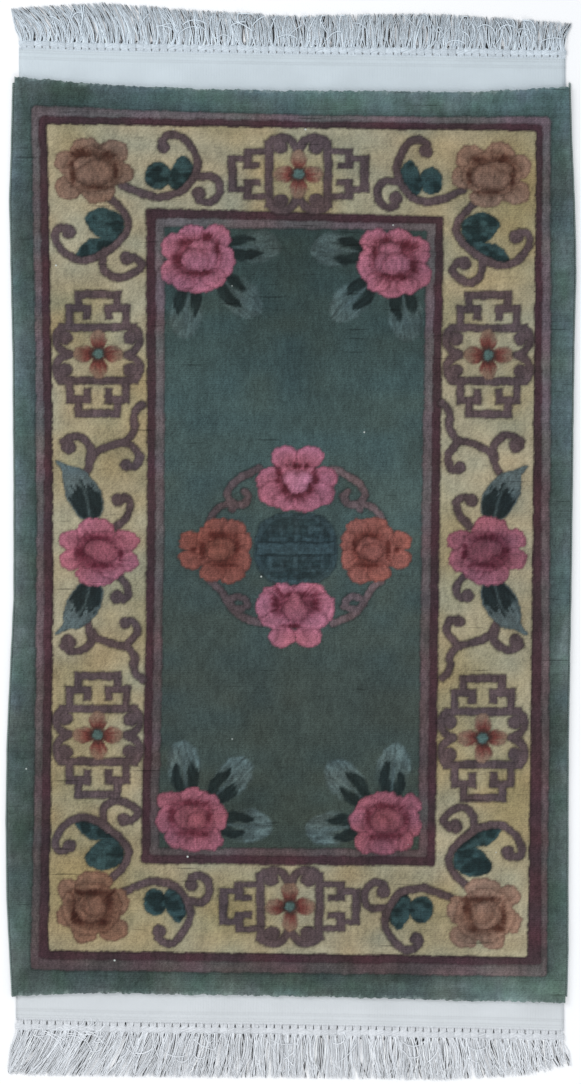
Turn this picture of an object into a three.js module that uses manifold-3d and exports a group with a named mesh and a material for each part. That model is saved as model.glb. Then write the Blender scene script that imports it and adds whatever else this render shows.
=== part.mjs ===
// Carved wool pile rug, lying flat: one woven cloth with pile in low relief and flat-woven ends, an overcast
// cord along each side, and a knotted fringe at each end.
// Millimetres, +Z up, the underside on Z = 0, the length along Y, and the origin under the rug's middle.

import * as THREE from 'three';
import { mergeVertices } from 'three/addons/utils/BufferGeometryUtils.js';
import Module from 'manifold-3d';

const wasm = await Module();
wasm.setup();
const { Manifold, Mesh } = wasm;

// Heights above the floor, how far out along Y the flat weave starts, and rises above the plain pile
const WEAVE_TOP = 3;
const WEAVE_ROOT = 700;
const PILE_TOP = 12;
const PILE_SHOULDER = 2.5;
const RELIEF_ROOT = 8;
const BAND_RISE = 0.8;
const LINE_RISE = 1.6;
const LEAF_RISE = 1.9;
const PETAL_RISE = 2.3;
const BUD_RISE = 3.2;

// Side cords and the play between pieces
const CORD_THICK = 4;
const CORD_SIDES = 6;
const GAP = 0.3;

// Fringe
const BUNDLES = 70;
const STRIP_WIDE = 5;
const STRIP_THICK = 2.4;

// One bundle from its root in the strip, through the knot, to the tip of the lock. Places out to the neck
// are distances from the strip's near face; past it they are shares of the way to the tip.
const BUNDLE_ROOT = { out: 0.7, wide: 8, high: 2 };
const BUNDLE_KNOT = { out: 7.5, wide: 10.5, high: 4.8 };
const BUNDLE_NECK = { out: 14, wide: 6.5, high: 2.6 };
const BUNDLE_MIDDLE = { share: 0.55, lean: 0.4, wide: 8.5, high: 2.2 };
const BUNDLE_TIP = { share: 1, lean: 1, wide: 9.5, high: 1.6 };

// Uneven trimming of the tips: the shortening cycles through a few steps
const TRIM = { stride: 7, cycle: 9, step: 0.8 };

// Drawn lines of the pattern
const LINE_WIDE = 12.5;
const VINE_WIDE = 9;
const BALL_RADIUS = 11;
const BALL_SIDES = 6;
const LEAF_PINCH = 0.15;

// Sides of the rug over the cords, from the upper end to the lower
const SIDES = [
  { y: 746, left: -453, right: 455 },
  { y: 636, left: -456, right: 458 },
  { y: 554, left: -458.5, right: 462 },
  { y: 441, left: -456, right: 464.3 },
  { y: 310, left: -453, right: 461 },
  { y: 92, left: -451.5, right: 458.5 },
  { y: -95, left: -451.5, right: 456 },
  { y: -257, left: -459.5, right: 453 },
  { y: -338, left: -462.7, right: 452 },
  { y: -460, left: -464.3, right: 451.5 },
  { y: -582, left: -462.7, right: 451.5 },
  { y: -663, left: -458.5, right: 451.5 },
  { y: -740, left: -454.5, right: 449.5 },
];

// Ends, from left to right: where the pile stops, where the flat weave stops, and where the locks reach
const ENDS = {
  upper: [
    { x: -446, pile: 754, weave: 803, tip: 864 },
    { x: -365, pile: 746, weave: 800, tip: 871 },
    { x: -284, pile: 740, weave: 798, tip: 876 },
    { x: -160, pile: 735, weave: 796, tip: 865 },
    { x: 0, pile: 731.5, weave: 793, tip: 855 },
    { x: 150, pile: 731, weave: 791, tip: 858 },
    { x: 230, pile: 730, weave: 790, tip: 858 },
    { x: 300, pile: 729, weave: 789, tip: 854 },
    { x: 365, pile: 733, weave: 788, tip: 850 },
    { x: 446, pile: 738, weave: 787, tip: 843 },
  ],
  lower: [
    { x: -446, pile: -737, weave: -777, tip: -863 },
    { x: -365, pile: -733, weave: -779, tip: -868 },
    { x: -284, pile: -733, weave: -781, tip: -869 },
    { x: -160, pile: -735, weave: -783, tip: -871 },
    { x: 0, pile: -738, weave: -785, tip: -872 },
    { x: 150, pile: -741, weave: -788, tip: -874 },
    { x: 230, pile: -743, weave: -790, tip: -876 },
    { x: 300, pile: -745, weave: -791, tip: -872 },
    { x: 365, pile: -746, weave: -793, tip: -868 },
    { x: 446, pile: -749, weave: -795, tip: -850 },
  ],
};

// Corners of the flat-woven ends
const WEAVE_SIDES = { upper: { left: -442, right: 446 }, lower: { left: -447, right: 444 } };

// How far the locks lean sideways at their tips, as waves along the end
const LEAN_WAVES = {
  upper: [{ reach: -9, length: 2400, shift: 0.2 }, { reach: 5, length: 310, shift: 1.1 }],
  lower: [{ reach: 15, length: 1700, shift: 0 }, { reach: 4, length: 270, shift: 0.4 }],
};

// Guard bands: the corners of both edges from the upper left one anticlockwise, and how far the left and
// right sides bow inwards at mid-length
const GUARDS = [
  {
    outer: [[-419, 702], [-420, -691], [416, -703], [416, 686]],
    inner: [[-390, 676], [-390, -660], [386, -673], [394, 665]],
    bow: { left: 6, right: 2 },
  },
  {
    outer: [[-234, 540], [-243, -520], [234, -523], [247, 528]],
    inner: [[-208, 512], [-221, -496], [211, -499], [221, 507]],
    bow: { left: 2, right: 0 },
  },
];
const GUARD_STEPS = 4;

// Peonies: middle, half-sizes, the way the first petal points in degrees, and half-sizes of the bud
const PEONIES = [
  { x: -321, y: 603, across: 63, along: 57, first: 8, bud: [30, 22] },
  { x: 326, y: 595, across: 64, along: 58, first: -8, bud: [30, 22] },
  { x: -321, y: -595, across: 63, along: 59, first: -5, bud: [30, 24] },
  { x: 313, y: -606, across: 62, along: 57, first: 5, bud: [29, 22] },
  { x: -151, y: 460, across: 61, along: 59, first: 5, bud: [28, 24] },
  { x: 167, y: 454, across: 60, along: 58, first: -5, bud: [27, 22] },
  { x: -161, y: -450, across: 61, along: 57, first: -5, bud: [28, 22] },
  { x: 154, y: -455, across: 62, along: 57, first: 5, bud: [28, 23] },
  { x: -313, y: -17, across: 67, along: 58, first: 30, bud: [27, 17] },
  { x: 317, y: -15, across: 68, along: 58, first: 30, bud: [27, 17] },
];
const PETALS = 6;
const SCALLOP = 0.14;

// Flowers of the medallion. Each has two lobes on its outer side, so far out and so far aside of its middle.
const MEDALLION = { x: 8, y: -12, vineRadius: 138 };
const MEDALLION_FLOWERS = [
  { x: 10, y: 88, across: 65, along: 40, first: 0, bud: [18, 17], out: [0, 1], lobes: [52, 21] },
  { x: 7, y: -106, across: 67, along: 39, first: 0, bud: [17, 18], out: [0, -1], lobes: [53, 23] },
  { x: -110, y: -15, across: 42, along: 56, first: 30, bud: [20, 21], out: [-1, 0], lobes: [54, 16] },
  { x: 125, y: -15, across: 41, along: 56, first: 30, bud: [20, 20], out: [1, 0], lobes: [54, 17] },
];
const LOBE_RADIUS = 19;
const TENDRIL = 14;
const TENDRIL_BALL = 8;

// Round fret in the middle of the medallion
const ROUNDEL = { across: 64, along: 57, rim: 9, bars: [-17, 17], barWide: 9 };

// Frets: the centre, the way the long side runs, and how far each is stretched along and across
const FRETS = [
  { x: -313, y: 306, upright: true, along: 1, across: 1 },
  { x: 321, y: 303, upright: true, along: 1, across: 1 },
  { x: -313, y: -312, upright: true, along: 1, across: 1 },
  { x: 312, y: -319, upright: true, along: 1, across: 1 },
  { x: 12, y: 599, upright: false, along: 1.13, across: 0.82 },
  { x: -2, y: -595, upright: false, along: 1.13, across: 0.82 },
];

// Lines of one half of a fret, through the middle of each bar, as places along and across
const FRET_LINES = [
  [[59, 17], [72, 17], [72, 47], [43, 47], [43, -47], [72, -47], [72, -17], [59, -17]],
  [[72, 33], [96, 33], [96, -33], [72, -33]],
  [[43, 47], [43, 62], [20, 62]],
  [[43, -47], [43, -62], [20, -62]],
];
const FRET_BALL = { a: 21, c: 50, radius: 11.5 };
const FRET_FLOWER = { reach: 38, eye: 9 };

// Scrolls that spring from a corner peony, measured from its middle towards the rug's middle
const CORNERS = [
  { x: -321, y: 603, sx: 1, sy: -1 },
  { x: 326, y: 595, sx: -1, sy: -1 },
  { x: -321, y: -595, sx: 1, sy: 1 },
  { x: 313, y: -606, sx: -1, sy: 1 },
];
const CORNER_SCROLLS = [
  { line: [[28, 47], [53, 76], [50, 107], [16, 138], [-28, 146], [-58, 118], [-52, 95]], steps: 7 },
  { line: [[12, 142], [22, 172], [55, 174], [78, 156], [68, 142]], steps: 4 },
  { line: [[57, 26], [98, 43], [142, 34], [168, 2], [160, -35], [130, -58], [109, -48]], steps: 7 },
  { line: [[160, 16], [192, 12], [205, 34], [189, 54], [168, 52]], steps: 4 },
];
const CORNER_BALLS = [[-42, 100], [56, 145], [113, -40], [170, 38]];
const CORNER_LEAVES = [
  { x: 20, y: 84, long: 30, wide: 21, turn: 15 },
  { x: 2, y: 125, long: 27, wide: 16, turn: -10 },
  { x: 103, y: 9, long: 23, wide: 21, turn: 80 },
  { x: 143, y: 0, long: 27, wide: 18, turn: 60 },
];

// Scrolls above and below a side peony, measured from its middle, inwards and away
const SIDE_SPRAYS = [
  { x: -313, y: -17, sx: 1, sy: 1, grow: 1 },
  { x: -313, y: -17, sx: 1, sy: -1, grow: 0.86 },
  { x: 317, y: -15, sx: -1, sy: 1, grow: 1 },
  { x: 317, y: -15, sx: -1, sy: -1, grow: 0.86 },
];
const SIDE_SCROLLS = [
  { line: [[82, 240], [60, 224], [60, 200], [44, 179], [13, 170], [-8, 157], [-17, 136]], steps: 6 },
  { line: [[44, 179], [68, 164], [70, 146], [58, 139]], steps: 3 },
  { line: [[-14, 148], [-12, 170], [-29, 187], [-52, 183]], steps: 3 },
  { line: [[30, 40], [51, 62], [53, 82], [42, 90]], steps: 3 },
];
const SIDE_BALLS = [[49, 141], [-48, 173], [34, 87]];
const SIDE_LEAF = { x: -36, y: 96, long: 56, wide: 25, turn: 118 };

// Three leaves on each field peony, as turns from the way to the rug's middle line
const FIELD_LEAVES = [
  { peony: 4, turns: [8, -42, -96] },
  { peony: 5, turns: [172, 222, 276] },
  { peony: 6, turns: [-8, 42, 96] },
  { peony: 7, turns: [188, 138, 84] },
];
const FIELD_LEAF = { from: 84, long: 43, wide: 22 };

function solidOf(geometry) {
  const bare = new THREE.BufferGeometry();
  bare.setAttribute('position', geometry.getAttribute('position'));
  if (geometry.index) bare.setIndex(geometry.index);
  const merged = mergeVertices(bare, 1e-4);
  return new Manifold(new Mesh({
    numProp: 3,
    vertProperties: new Float32Array(merged.getAttribute('position').array),
    triVerts: new Uint32Array(merged.index.array),
  }));
}

function geometryOf(solid) {
  const mesh = solid.getMesh();
  const geometry = new THREE.BufferGeometry();
  geometry.setAttribute('position', new THREE.BufferAttribute(new Float32Array(mesh.vertProperties), 3));
  geometry.setIndex(new THREE.BufferAttribute(new Uint32Array(mesh.triVerts), 1));
  geometry.computeVertexNormals();
  return geometry;
}

// A column's value at x, between the rows of a table
function between(rows, x, column) {
  const found = rows.findIndex((row) => row.x > x);
  const next = found < 0 ? rows.length - 1 : Math.max(found, 1);
  const low = rows[next - 1];
  const high = rows[next];
  const share = THREE.MathUtils.clamp((x - low.x) / (high.x - low.x), 0, 1);
  return THREE.MathUtils.lerp(low[column], high[column], share);
}

// An upright block on a flat outline, with an optional hole
function block(outline, low, high, hole = null) {
  const shape = new THREE.Shape(outline.map(([x, y]) => new THREE.Vector2(x, y)));
  if (hole) shape.holes.push(new THREE.Path(hole.map(([x, y]) => new THREE.Vector2(x, y))));
  const geometry = new THREE.ExtrudeGeometry(shape, { depth: high - low, bevelEnabled: false });
  geometry.translate(0, 0, low);
  return solidOf(geometry);
}

// A mound about its middle, whose rings are pulled in or out by spread(angle, share of the radius). Its
// first corner points the way first says, and turn is applied last, once it has its size.
function mound({ x, y, across, along, first = 0, turn = 0, profile, segments, spread = () => 1 }) {
  const points = profile.map(([radius, height]) => new THREE.Vector2(radius, height));
  const geometry = new THREE.LatheGeometry(points, segments);
  geometry.rotateX(Math.PI / 2);
  const position = geometry.getAttribute('position');
  const begun = THREE.MathUtils.degToRad(first);
  const turned = THREE.MathUtils.degToRad(turn);
  for (let i = 0; i < position.count; i += 1) {
    const px = position.getX(i);
    const py = position.getY(i);
    const radius = Math.hypot(px, py);
    const angle = Math.atan2(py, px);
    const reach = radius * spread(angle, radius);
    const ax = reach * Math.cos(angle + begun) * across;
    const ay = reach * Math.sin(angle + begun) * along;
    position.setX(i, x + ax * Math.cos(turned) - ay * Math.sin(turned));
    position.setY(i, y + ax * Math.sin(turned) + ay * Math.cos(turned));
  }
  return solidOf(geometry);
}

// A drawn line of even width with cut ends, along a smooth curve through the given points
function stroke(line, wide, rise, steps) {
  const curve = new THREE.CatmullRomCurve3(line.map(([x, y]) => new THREE.Vector3(x, y, 0)));
  const left = [];
  const right = [];
  for (let i = 0; i <= steps; i += 1) {
    const point = curve.getPoint(i / steps);
    const along = curve.getTangent(i / steps);
    left.push([point.x - (along.y * wide) / 2, point.y + (along.x * wide) / 2]);
    right.push([point.x + (along.y * wide) / 2, point.y - (along.x * wide) / 2]);
  }
  return block([...left, ...right.reverse()], RELIEF_ROOT, PILE_TOP + rise);
}

// An angular line of even width with square corners
function meander(line, wide, rise) {
  const points = line.map(([x, y]) => new THREE.Vector2(x, y));
  const left = [];
  const right = [];
  points.forEach((point, i) => {
    const into = (i > 0 ? point.clone().sub(points[i - 1]) : points[1].clone().sub(point)).normalize();
    const onward = (i + 1 < points.length ? points[i + 1].clone().sub(point) : into.clone()).normalize();
    const aside = new THREE.Vector2(-into.y - onward.y, into.x + onward.x).normalize();
    const reach = wide / 2 / (aside.x * -into.y + aside.y * into.x);
    left.push([point.x + aside.x * reach, point.y + aside.y * reach]);
    right.push([point.x - aside.x * reach, point.y - aside.y * reach]);
  });
  return block([...left, ...right.reverse()], RELIEF_ROOT, PILE_TOP + rise);
}

function bar(x0, y0, x1, y1, rise, wide) {
  const half = wide / 2;
  const low = [Math.min(x0, x1) - half, Math.min(y0, y1) - half];
  const high = [Math.max(x0, x1) + half, Math.max(y0, y1) + half];
  const outline = [low, [high[0], low[1]], high, [low[0], high[1]]];
  return block(outline, RELIEF_ROOT, PILE_TOP + rise);
}

function ball(x, y, radius, rise = LINE_RISE) {
  const profile = [[0, RELIEF_ROOT], [1, RELIEF_ROOT], [1, PILE_TOP + rise], [0, PILE_TOP + rise + 0.7]];
  return mound({ x, y, across: radius, along: radius, profile, segments: BALL_SIDES });
}

function leaf(x, y, long, wide, turn) {
  const profile = [[0, RELIEF_ROOT], [1, RELIEF_ROOT], [1, PILE_TOP + 1], [0, PILE_TOP + LEAF_RISE]];
  const pointed = (angle) => 1 - LEAF_PINCH * Math.abs(Math.sin(2 * angle));
  return mound({ x, y, across: long, along: wide, turn, profile, segments: 8, spread: pointed });
}

// A peony: scalloped petals that rise from their rim, a carved valley, and a domed bud
function peony({ x, y, across, along, first, bud }) {
  const budShare = (bud[0] / across + bud[1] / along) / 2;
  const profile = [
    [0, RELIEF_ROOT],
    [1, RELIEF_ROOT],
    [1, PILE_TOP + 1.2],
    [0.72, PILE_TOP + PETAL_RISE],
    [budShare + 0.06, PILE_TOP + 0.9],
    [budShare * 0.8, PILE_TOP + BUD_RISE - 0.4],
    [0, PILE_TOP + BUD_RISE],
  ];
  const scallop = (angle, radius) => {
    const depth = radius > 0.7 ? SCALLOP : 0;
    return 1 - depth * (1 - Math.cos(PETALS * angle)) * 0.5;
  };
  return mound({ x, y, across, along, first, profile, segments: PETALS * 2, spread: scallop });
}

function medallionFlower(flower) {
  const [outX, outY] = flower.out;
  const [away, aside] = flower.lobes;
  const parts = [peony(flower)];
  for (const side of [-aside, aside]) {
    const x = flower.x + outX * away + outY * side;
    const y = flower.y + outY * away - outX * side;
    parts.push(ball(x, y, LOBE_RADIUS, LEAF_RISE));
  }
  return parts;
}

function medallion() {
  const parts = MEDALLION_FLOWERS.flatMap(medallionFlower);
  for (let quarter = 0; quarter < 4; quarter += 1) {
    const line = [];
    for (const step of [-24, -8, 8, 24]) {
      const angle = THREE.MathUtils.degToRad(45 + quarter * 90 + step);
      const reach = MEDALLION.vineRadius;
      line.push([MEDALLION.x + reach * Math.cos(angle), MEDALLION.y + reach * Math.sin(angle)]);
    }
    parts.push(stroke(line, VINE_WIDE, LINE_RISE, 4));
    const diagonal = THREE.MathUtils.degToRad(45 + quarter * 90);
    const reach = MEDALLION.vineRadius - TENDRIL_BALL - TENDRIL / 2;
    const bx = MEDALLION.x + reach * Math.cos(diagonal);
    const by = MEDALLION.y + reach * Math.sin(diagonal);
    const tendril = [[bx, by], [bx + TENDRIL * Math.cos(diagonal), by + TENDRIL * Math.sin(diagonal)]];
    parts.push(stroke(tendril, VINE_WIDE, LINE_RISE, 1));
    parts.push(ball(bx, by, TENDRIL_BALL));
  }
  return parts;
}

// The round fret: a rim with two level bars and an upright between them
function roundel() {
  const { x, y } = MEDALLION;
  const { across, along, rim, bars, barWide } = ROUNDEL;
  const ring = (inset) => {
    const points = [];
    for (let i = 0; i < 16; i += 1) {
      const angle = (i / 16) * Math.PI * 2;
      points.push([x + (across - inset) * Math.cos(angle), y + (along - inset) * Math.sin(angle)]);
    }
    return points;
  };
  const parts = [block(ring(0), RELIEF_ROOT, PILE_TOP + BAND_RISE, ring(rim))];
  for (const level of bars) {
    const half = across * Math.sqrt(1 - (level / along) ** 2) - rim / 2 - barWide / 2;
    parts.push(bar(x - half, y + level, x + half, y + level, BAND_RISE, barWide));
  }
  parts.push(bar(x, y + bars[0], x, y + bars[1], BAND_RISE, barWide));
  return parts;
}

function fret({ x, y, upright, along, across }) {
  const place = ([a, c]) => (upright ? [x + c * across, y + a * along] : [x + a * along, y + c * across]);
  const parts = [];
  for (const end of [-1, 1]) {
    for (const line of FRET_LINES) {
      parts.push(meander(line.map(([a, c]) => place([a * end, c])), LINE_WIDE, LINE_RISE));
    }
    for (const side of [-1, 1]) {
      const spot = place([FRET_BALL.a * end, FRET_BALL.c * side]);
      parts.push(ball(...spot, FRET_BALL.radius));
    }
  }
  const { reach, eye } = FRET_FLOWER;
  const profile = [
    [0, RELIEF_ROOT],
    [1, RELIEF_ROOT],
    [1, PILE_TOP + LINE_RISE],
    [eye / reach, PILE_TOP + 1],
    [0, PILE_TOP + PETAL_RISE],
  ];
  const crossed = (angle, radius) => (radius > 0.5 && Math.abs(Math.sin(2 * angle)) > 0.5 ? 0.52 : 1);
  parts.push(mound({ x, y, across: reach, along: reach, profile, segments: 8, spread: crossed }));
  return parts;
}

function cornerScrolls({ x, y, sx, sy }) {
  const place = ([dx, dy]) => [x + sx * dx, y + sy * dy];
  const parts = CORNER_SCROLLS.map(({ line, steps }) => stroke(line.map(place), LINE_WIDE, LINE_RISE, steps));
  for (const spot of CORNER_BALLS) parts.push(ball(...place(spot), BALL_RADIUS));
  for (const { x: dx, y: dy, long, wide, turn } of CORNER_LEAVES) {
    parts.push(leaf(...place([dx, dy]), long, wide, turn * sx * sy));
  }
  return parts;
}

function sideSpray({ x, y, sx, sy, grow }) {
  const place = ([dx, dy]) => [x + sx * dx, y + sy * dy * grow];
  const parts = SIDE_SCROLLS.map(({ line, steps }) => stroke(line.map(place), LINE_WIDE, LINE_RISE, steps));
  for (const spot of SIDE_BALLS) parts.push(ball(...place(spot), BALL_RADIUS));
  const { x: dx, y: dy, long, wide, turn } = SIDE_LEAF;
  parts.push(leaf(...place([dx, dy]), long * grow, wide * grow, turn * sx * sy));
  return parts;
}

function fieldLeaves({ peony: index, turns }) {
  const { x, y } = PEONIES[index];
  return turns.map((turn) => {
    const angle = THREE.MathUtils.degToRad(turn);
    const cx = x + FIELD_LEAF.from * Math.cos(angle);
    const cy = y + FIELD_LEAF.from * Math.sin(angle);
    return leaf(cx, cy, FIELD_LEAF.long, FIELD_LEAF.wide, turn);
  });
}

// One edge of a guard band as a closed line through its four corners, its sides slightly bowed
function guardLoop(corners, bow) {
  const bows = [bow.left, 0, -bow.right, 0];
  const points = [];
  corners.forEach((from, side) => {
    const to = corners[(side + 1) % corners.length];
    const steps = bows[side] === 0 ? 1 : GUARD_STEPS;
    for (let i = 0; i < steps; i += 1) {
      const share = i / steps;
      const aside = bows[side] * Math.sin(share * Math.PI);
      points.push([from[0] + (to[0] - from[0]) * share + aside, from[1] + (to[1] - from[1]) * share]);
    }
  });
  return points;
}

function guard({ outer, inner, bow }) {
  return block(guardLoop(outer, bow), RELIEF_ROOT, PILE_TOP + BAND_RISE, guardLoop(inner, bow));
}

// Outline of the piled part, inside the cords, from the upper left corner clockwise
function pileOutline(inset) {
  const cord = CORD_THICK + GAP + inset;
  const leftSide = SIDES.map(({ y, left }) => [left + cord, y]);
  const rightSide = SIDES.map(({ y, right }) => [right - cord, y]);
  const upper = ENDS.upper.map(({ x, pile }) => [x, pile - inset]);
  const lower = ENDS.lower.map(({ x, pile }) => [x, pile + inset]);
  leftSide[0][1] = upper[0][1];
  rightSide[0][1] = upper[upper.length - 1][1];
  leftSide[leftSide.length - 1][1] = lower[0][1];
  rightSide[rightSide.length - 1][1] = lower[lower.length - 1][1];
  const upperInner = upper.slice(1, -1);
  const lowerInner = lower.slice(1, -1).reverse();
  return [...upperInner, ...rightSide, ...lowerInner, ...leftSide.reverse()];
}

// The pile slab, with a sloping shoulder all round its top
function pileSlab() {
  const wide = pileOutline(0);
  const narrow = pileOutline(PILE_SHOULDER);
  const levels = [
    { outline: wide, z: 0 },
    { outline: wide, z: PILE_TOP - PILE_SHOULDER },
    { outline: narrow, z: PILE_TOP },
  ];
  const count = wide.length;
  const vertices = levels.flatMap(({ outline, z }) => outline.flatMap(([x, y]) => [x, y, z]));
  const faces = [];
  for (let level = 0; level + 1 < levels.length; level += 1) {
    for (let i = 0; i < count; i += 1) {
      const j = (i + 1) % count;
      const low = level * count;
      const high = low + count;
      faces.push(low + j, low + i, high + i, low + j, high + i, high + j);
    }
  }
  const top = (levels.length - 1) * count;
  const fill = (outline) => {
    const contour = outline.map(([x, y]) => new THREE.Vector2(x, y));
    return THREE.ShapeUtils.triangulateShape(contour, []);
  };
  for (const [a, b, c] of fill(narrow)) faces.push(top + a, top + b, top + c);
  for (const [a, b, c] of fill(wide)) faces.push(c, b, a);
  const geometry = new THREE.BufferGeometry();
  geometry.setAttribute('position', new THREE.Float32BufferAttribute(vertices, 3));
  geometry.setIndex(faces);
  return solidOf(geometry);
}

// One flat-woven end, from inside the pile to the fringe
function wovenEnd(end) {
  const { left, right } = WEAVE_SIDES[end];
  const edge = ENDS[end].map(({ x, weave }) => [x, weave]);
  edge[0][0] = left;
  edge[edge.length - 1][0] = right;
  const rootY = Math.sign(edge[0][1]) * WEAVE_ROOT;
  return block([[left, rootY], ...edge, [right, rootY]], 0, WEAVE_TOP);
}

function rugCloth() {
  const parts = [
    pileSlab(),
    wovenEnd('upper'),
    wovenEnd('lower'),
    ...GUARDS.map(guard),
    ...PEONIES.map(peony),
    ...medallion(),
    ...roundel(),
    ...FRETS.flatMap(fret),
    ...CORNERS.flatMap(cornerScrolls),
    ...SIDE_SPRAYS.flatMap(sideSpray),
    ...FIELD_LEAVES.flatMap(fieldLeaves),
  ];
  return geometryOf(Manifold.union(parts));
}

// A tube of flat-bottomed section along one side of the pile
function edgeCord(column, inward) {
  const half = CORD_THICK / 2;
  const corner = half / Math.cos(Math.PI / CORD_SIDES);
  const vertices = [];
  for (const row of SIDES) {
    const x = row[column] + inward * half;
    for (let i = 0; i < CORD_SIDES; i += 1) {
      const angle = ((i + 0.5) / CORD_SIDES) * Math.PI * 2 - Math.PI / 2;
      vertices.push(x + half * Math.cos(angle), row.y, half + corner * Math.sin(angle));
    }
  }
  const faces = [];
  for (let row = 0; row + 1 < SIDES.length; row += 1) {
    for (let i = 0; i < CORD_SIDES; i += 1) {
      const j = (i + 1) % CORD_SIDES;
      const near = row * CORD_SIDES;
      const far = near + CORD_SIDES;
      faces.push(near + i, near + j, far + j, near + i, far + j, far + i);
    }
  }
  const last = (SIDES.length - 1) * CORD_SIDES;
  for (let i = 1; i + 1 < CORD_SIDES; i += 1) {
    faces.push(0, i + 1, i);
    faces.push(last, last + i, last + i + 1);
  }
  const geometry = new THREE.BufferGeometry();
  geometry.setAttribute('position', new THREE.Float32BufferAttribute(vertices, 3));
  geometry.setIndex(faces);
  return geometryOf(solidOf(geometry));
}

// A three-sided bundle that lies level on the floor, through stations of x, y, width and height
function bundle(stations) {
  const vertices = [];
  for (const [x, y, wide, high] of stations) {
    vertices.push(x - wide / 2, y, 0);
    vertices.push(x + wide / 2, y, 0);
    vertices.push(x, y, high);
  }
  const faces = [];
  for (let station = 0; station + 1 < stations.length; station += 1) {
    for (let i = 0; i < 3; i += 1) {
      const j = (i + 1) % 3;
      const near = station * 3;
      const far = near + 3;
      faces.push(near + i, near + j, far + j, near + i, far + j, far + i);
    }
  }
  const last = (stations.length - 1) * 3;
  faces.push(0, 2, 1, last, last + 1, last + 2);
  if (stations[0][1] < stations[1][1]) {
    for (let i = 0; i < faces.length; i += 3) [faces[i + 1], faces[i + 2]] = [faces[i + 2], faces[i + 1]];
  }
  const geometry = new THREE.BufferGeometry();
  geometry.setAttribute('position', new THREE.Float32BufferAttribute(vertices, 3));
  geometry.setIndex(faces);
  return solidOf(geometry);
}

// How far the tip of a bundle leans sideways
function leanAt(end, x) {
  return LEAN_WAVES[end].reduce(
    (sum, { reach, length, shift }) => sum + reach * Math.sin((x / length + shift) * Math.PI * 2),
    0,
  );
}

// A knotted fringe: a narrow strip beside the flat weave, and the knotted bundles that it holds
function fringe(end) {
  const outward = end === 'upper' ? 1 : -1;
  const { left, right } = WEAVE_SIDES[end];
  const edgeAt = (x) => between(ENDS[end], x, 'weave') + outward * GAP;
  const corners = ENDS[end].map(({ x }) => THREE.MathUtils.clamp(x, left, right));
  corners[0] = left;
  corners[corners.length - 1] = right;
  const near = corners.map((x) => [x, edgeAt(x)]);
  const far = corners.map((x) => [x, edgeAt(x) + outward * STRIP_WIDE]);
  const parts = [block([...near, ...far.reverse()], 0, STRIP_THICK)];
  const pitch = (right - left) / BUNDLES;
  for (let i = 0; i < BUNDLES; i += 1) {
    const x = left + (i + 0.5) * pitch;
    const stations = [BUNDLE_ROOT, BUNDLE_KNOT, BUNDLE_NECK].map(
      ({ out, wide, high }) => [x, edgeAt(x) + outward * out, wide, high],
    );
    const neckY = edgeAt(x) + outward * BUNDLE_NECK.out;
    const trimmed = ((i * TRIM.stride) % TRIM.cycle) * TRIM.step;
    const tipY = between(ENDS[end], x, 'tip') - outward * trimmed;
    for (const { share, lean, wide, high } of [BUNDLE_MIDDLE, BUNDLE_TIP]) {
      stations.push([x + leanAt(end, x) * lean, neckY + (tipY - neckY) * share, wide, high]);
    }
    parts.push(bundle(stations));
  }
  return geometryOf(Manifold.union(parts));
}

// Colours as red, green and blue from 0 to 255
const WOOL = new THREE.MeshStandardMaterial({ color: 'rgb(78, 98, 94)', roughness: 0.95, metalness: 0 });
const EDGE = new THREE.MeshStandardMaterial({ color: 'rgb(104, 118, 112)', roughness: 0.9, metalness: 0 });
const COTTON = new THREE.MeshStandardMaterial({ color: 'rgb(205, 212, 218)', roughness: 0.9, metalness: 0 });

const rug = new THREE.Group();
const pieces = [
  ['rug_cloth', rugCloth(), WOOL],
  ['edge_cord_left', edgeCord('left', 1), EDGE],
  ['edge_cord_right', edgeCord('right', -1), EDGE],
  ['fringe_upper', fringe('upper'), COTTON],
  ['fringe_lower', fringe('lower'), COTTON],
];
for (const [name, geometry, material] of pieces) {
  const mesh = new THREE.Mesh(geometry, material.clone());
  mesh.name = name;
  rug.add(mesh);
}

// The whole rug is moved so that its box stands centred on the origin
const middle = new THREE.Box3().setFromObject(rug).getCenter(new THREE.Vector3());
rug.position.set(-middle.x, -middle.y, 0);

export default rug;
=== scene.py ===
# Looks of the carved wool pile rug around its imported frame: the carved and coloured pile, the woven ground
# with its flat-woven ends, the overcast side cords and the two knotted fringes.
# Places are in millimetres from the rug's middle, X across and Y along, as in the part's source. Colours
# are red, green and blue from 0 to 255, as they look in even daylight.

import math

import bpy
import numpy as np
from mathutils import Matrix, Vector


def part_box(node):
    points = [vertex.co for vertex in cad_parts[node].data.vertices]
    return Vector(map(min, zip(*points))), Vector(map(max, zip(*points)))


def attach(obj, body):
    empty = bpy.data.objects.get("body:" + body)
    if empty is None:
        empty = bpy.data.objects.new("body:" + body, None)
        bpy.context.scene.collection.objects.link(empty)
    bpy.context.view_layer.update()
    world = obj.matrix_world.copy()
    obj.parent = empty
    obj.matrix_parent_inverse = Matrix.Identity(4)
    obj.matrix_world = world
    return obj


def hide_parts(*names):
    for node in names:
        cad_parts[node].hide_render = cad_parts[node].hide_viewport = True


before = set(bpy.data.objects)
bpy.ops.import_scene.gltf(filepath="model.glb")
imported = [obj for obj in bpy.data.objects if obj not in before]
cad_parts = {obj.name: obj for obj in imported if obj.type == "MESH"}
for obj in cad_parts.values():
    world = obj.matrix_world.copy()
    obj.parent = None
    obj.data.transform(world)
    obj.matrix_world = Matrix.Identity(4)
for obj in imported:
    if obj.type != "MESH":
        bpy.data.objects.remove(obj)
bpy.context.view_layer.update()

MM = 0.001
CLOTH_LOW, CLOTH_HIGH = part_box("rug_cloth")
CLOTH_MIDDLE = (0, 4)
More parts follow.
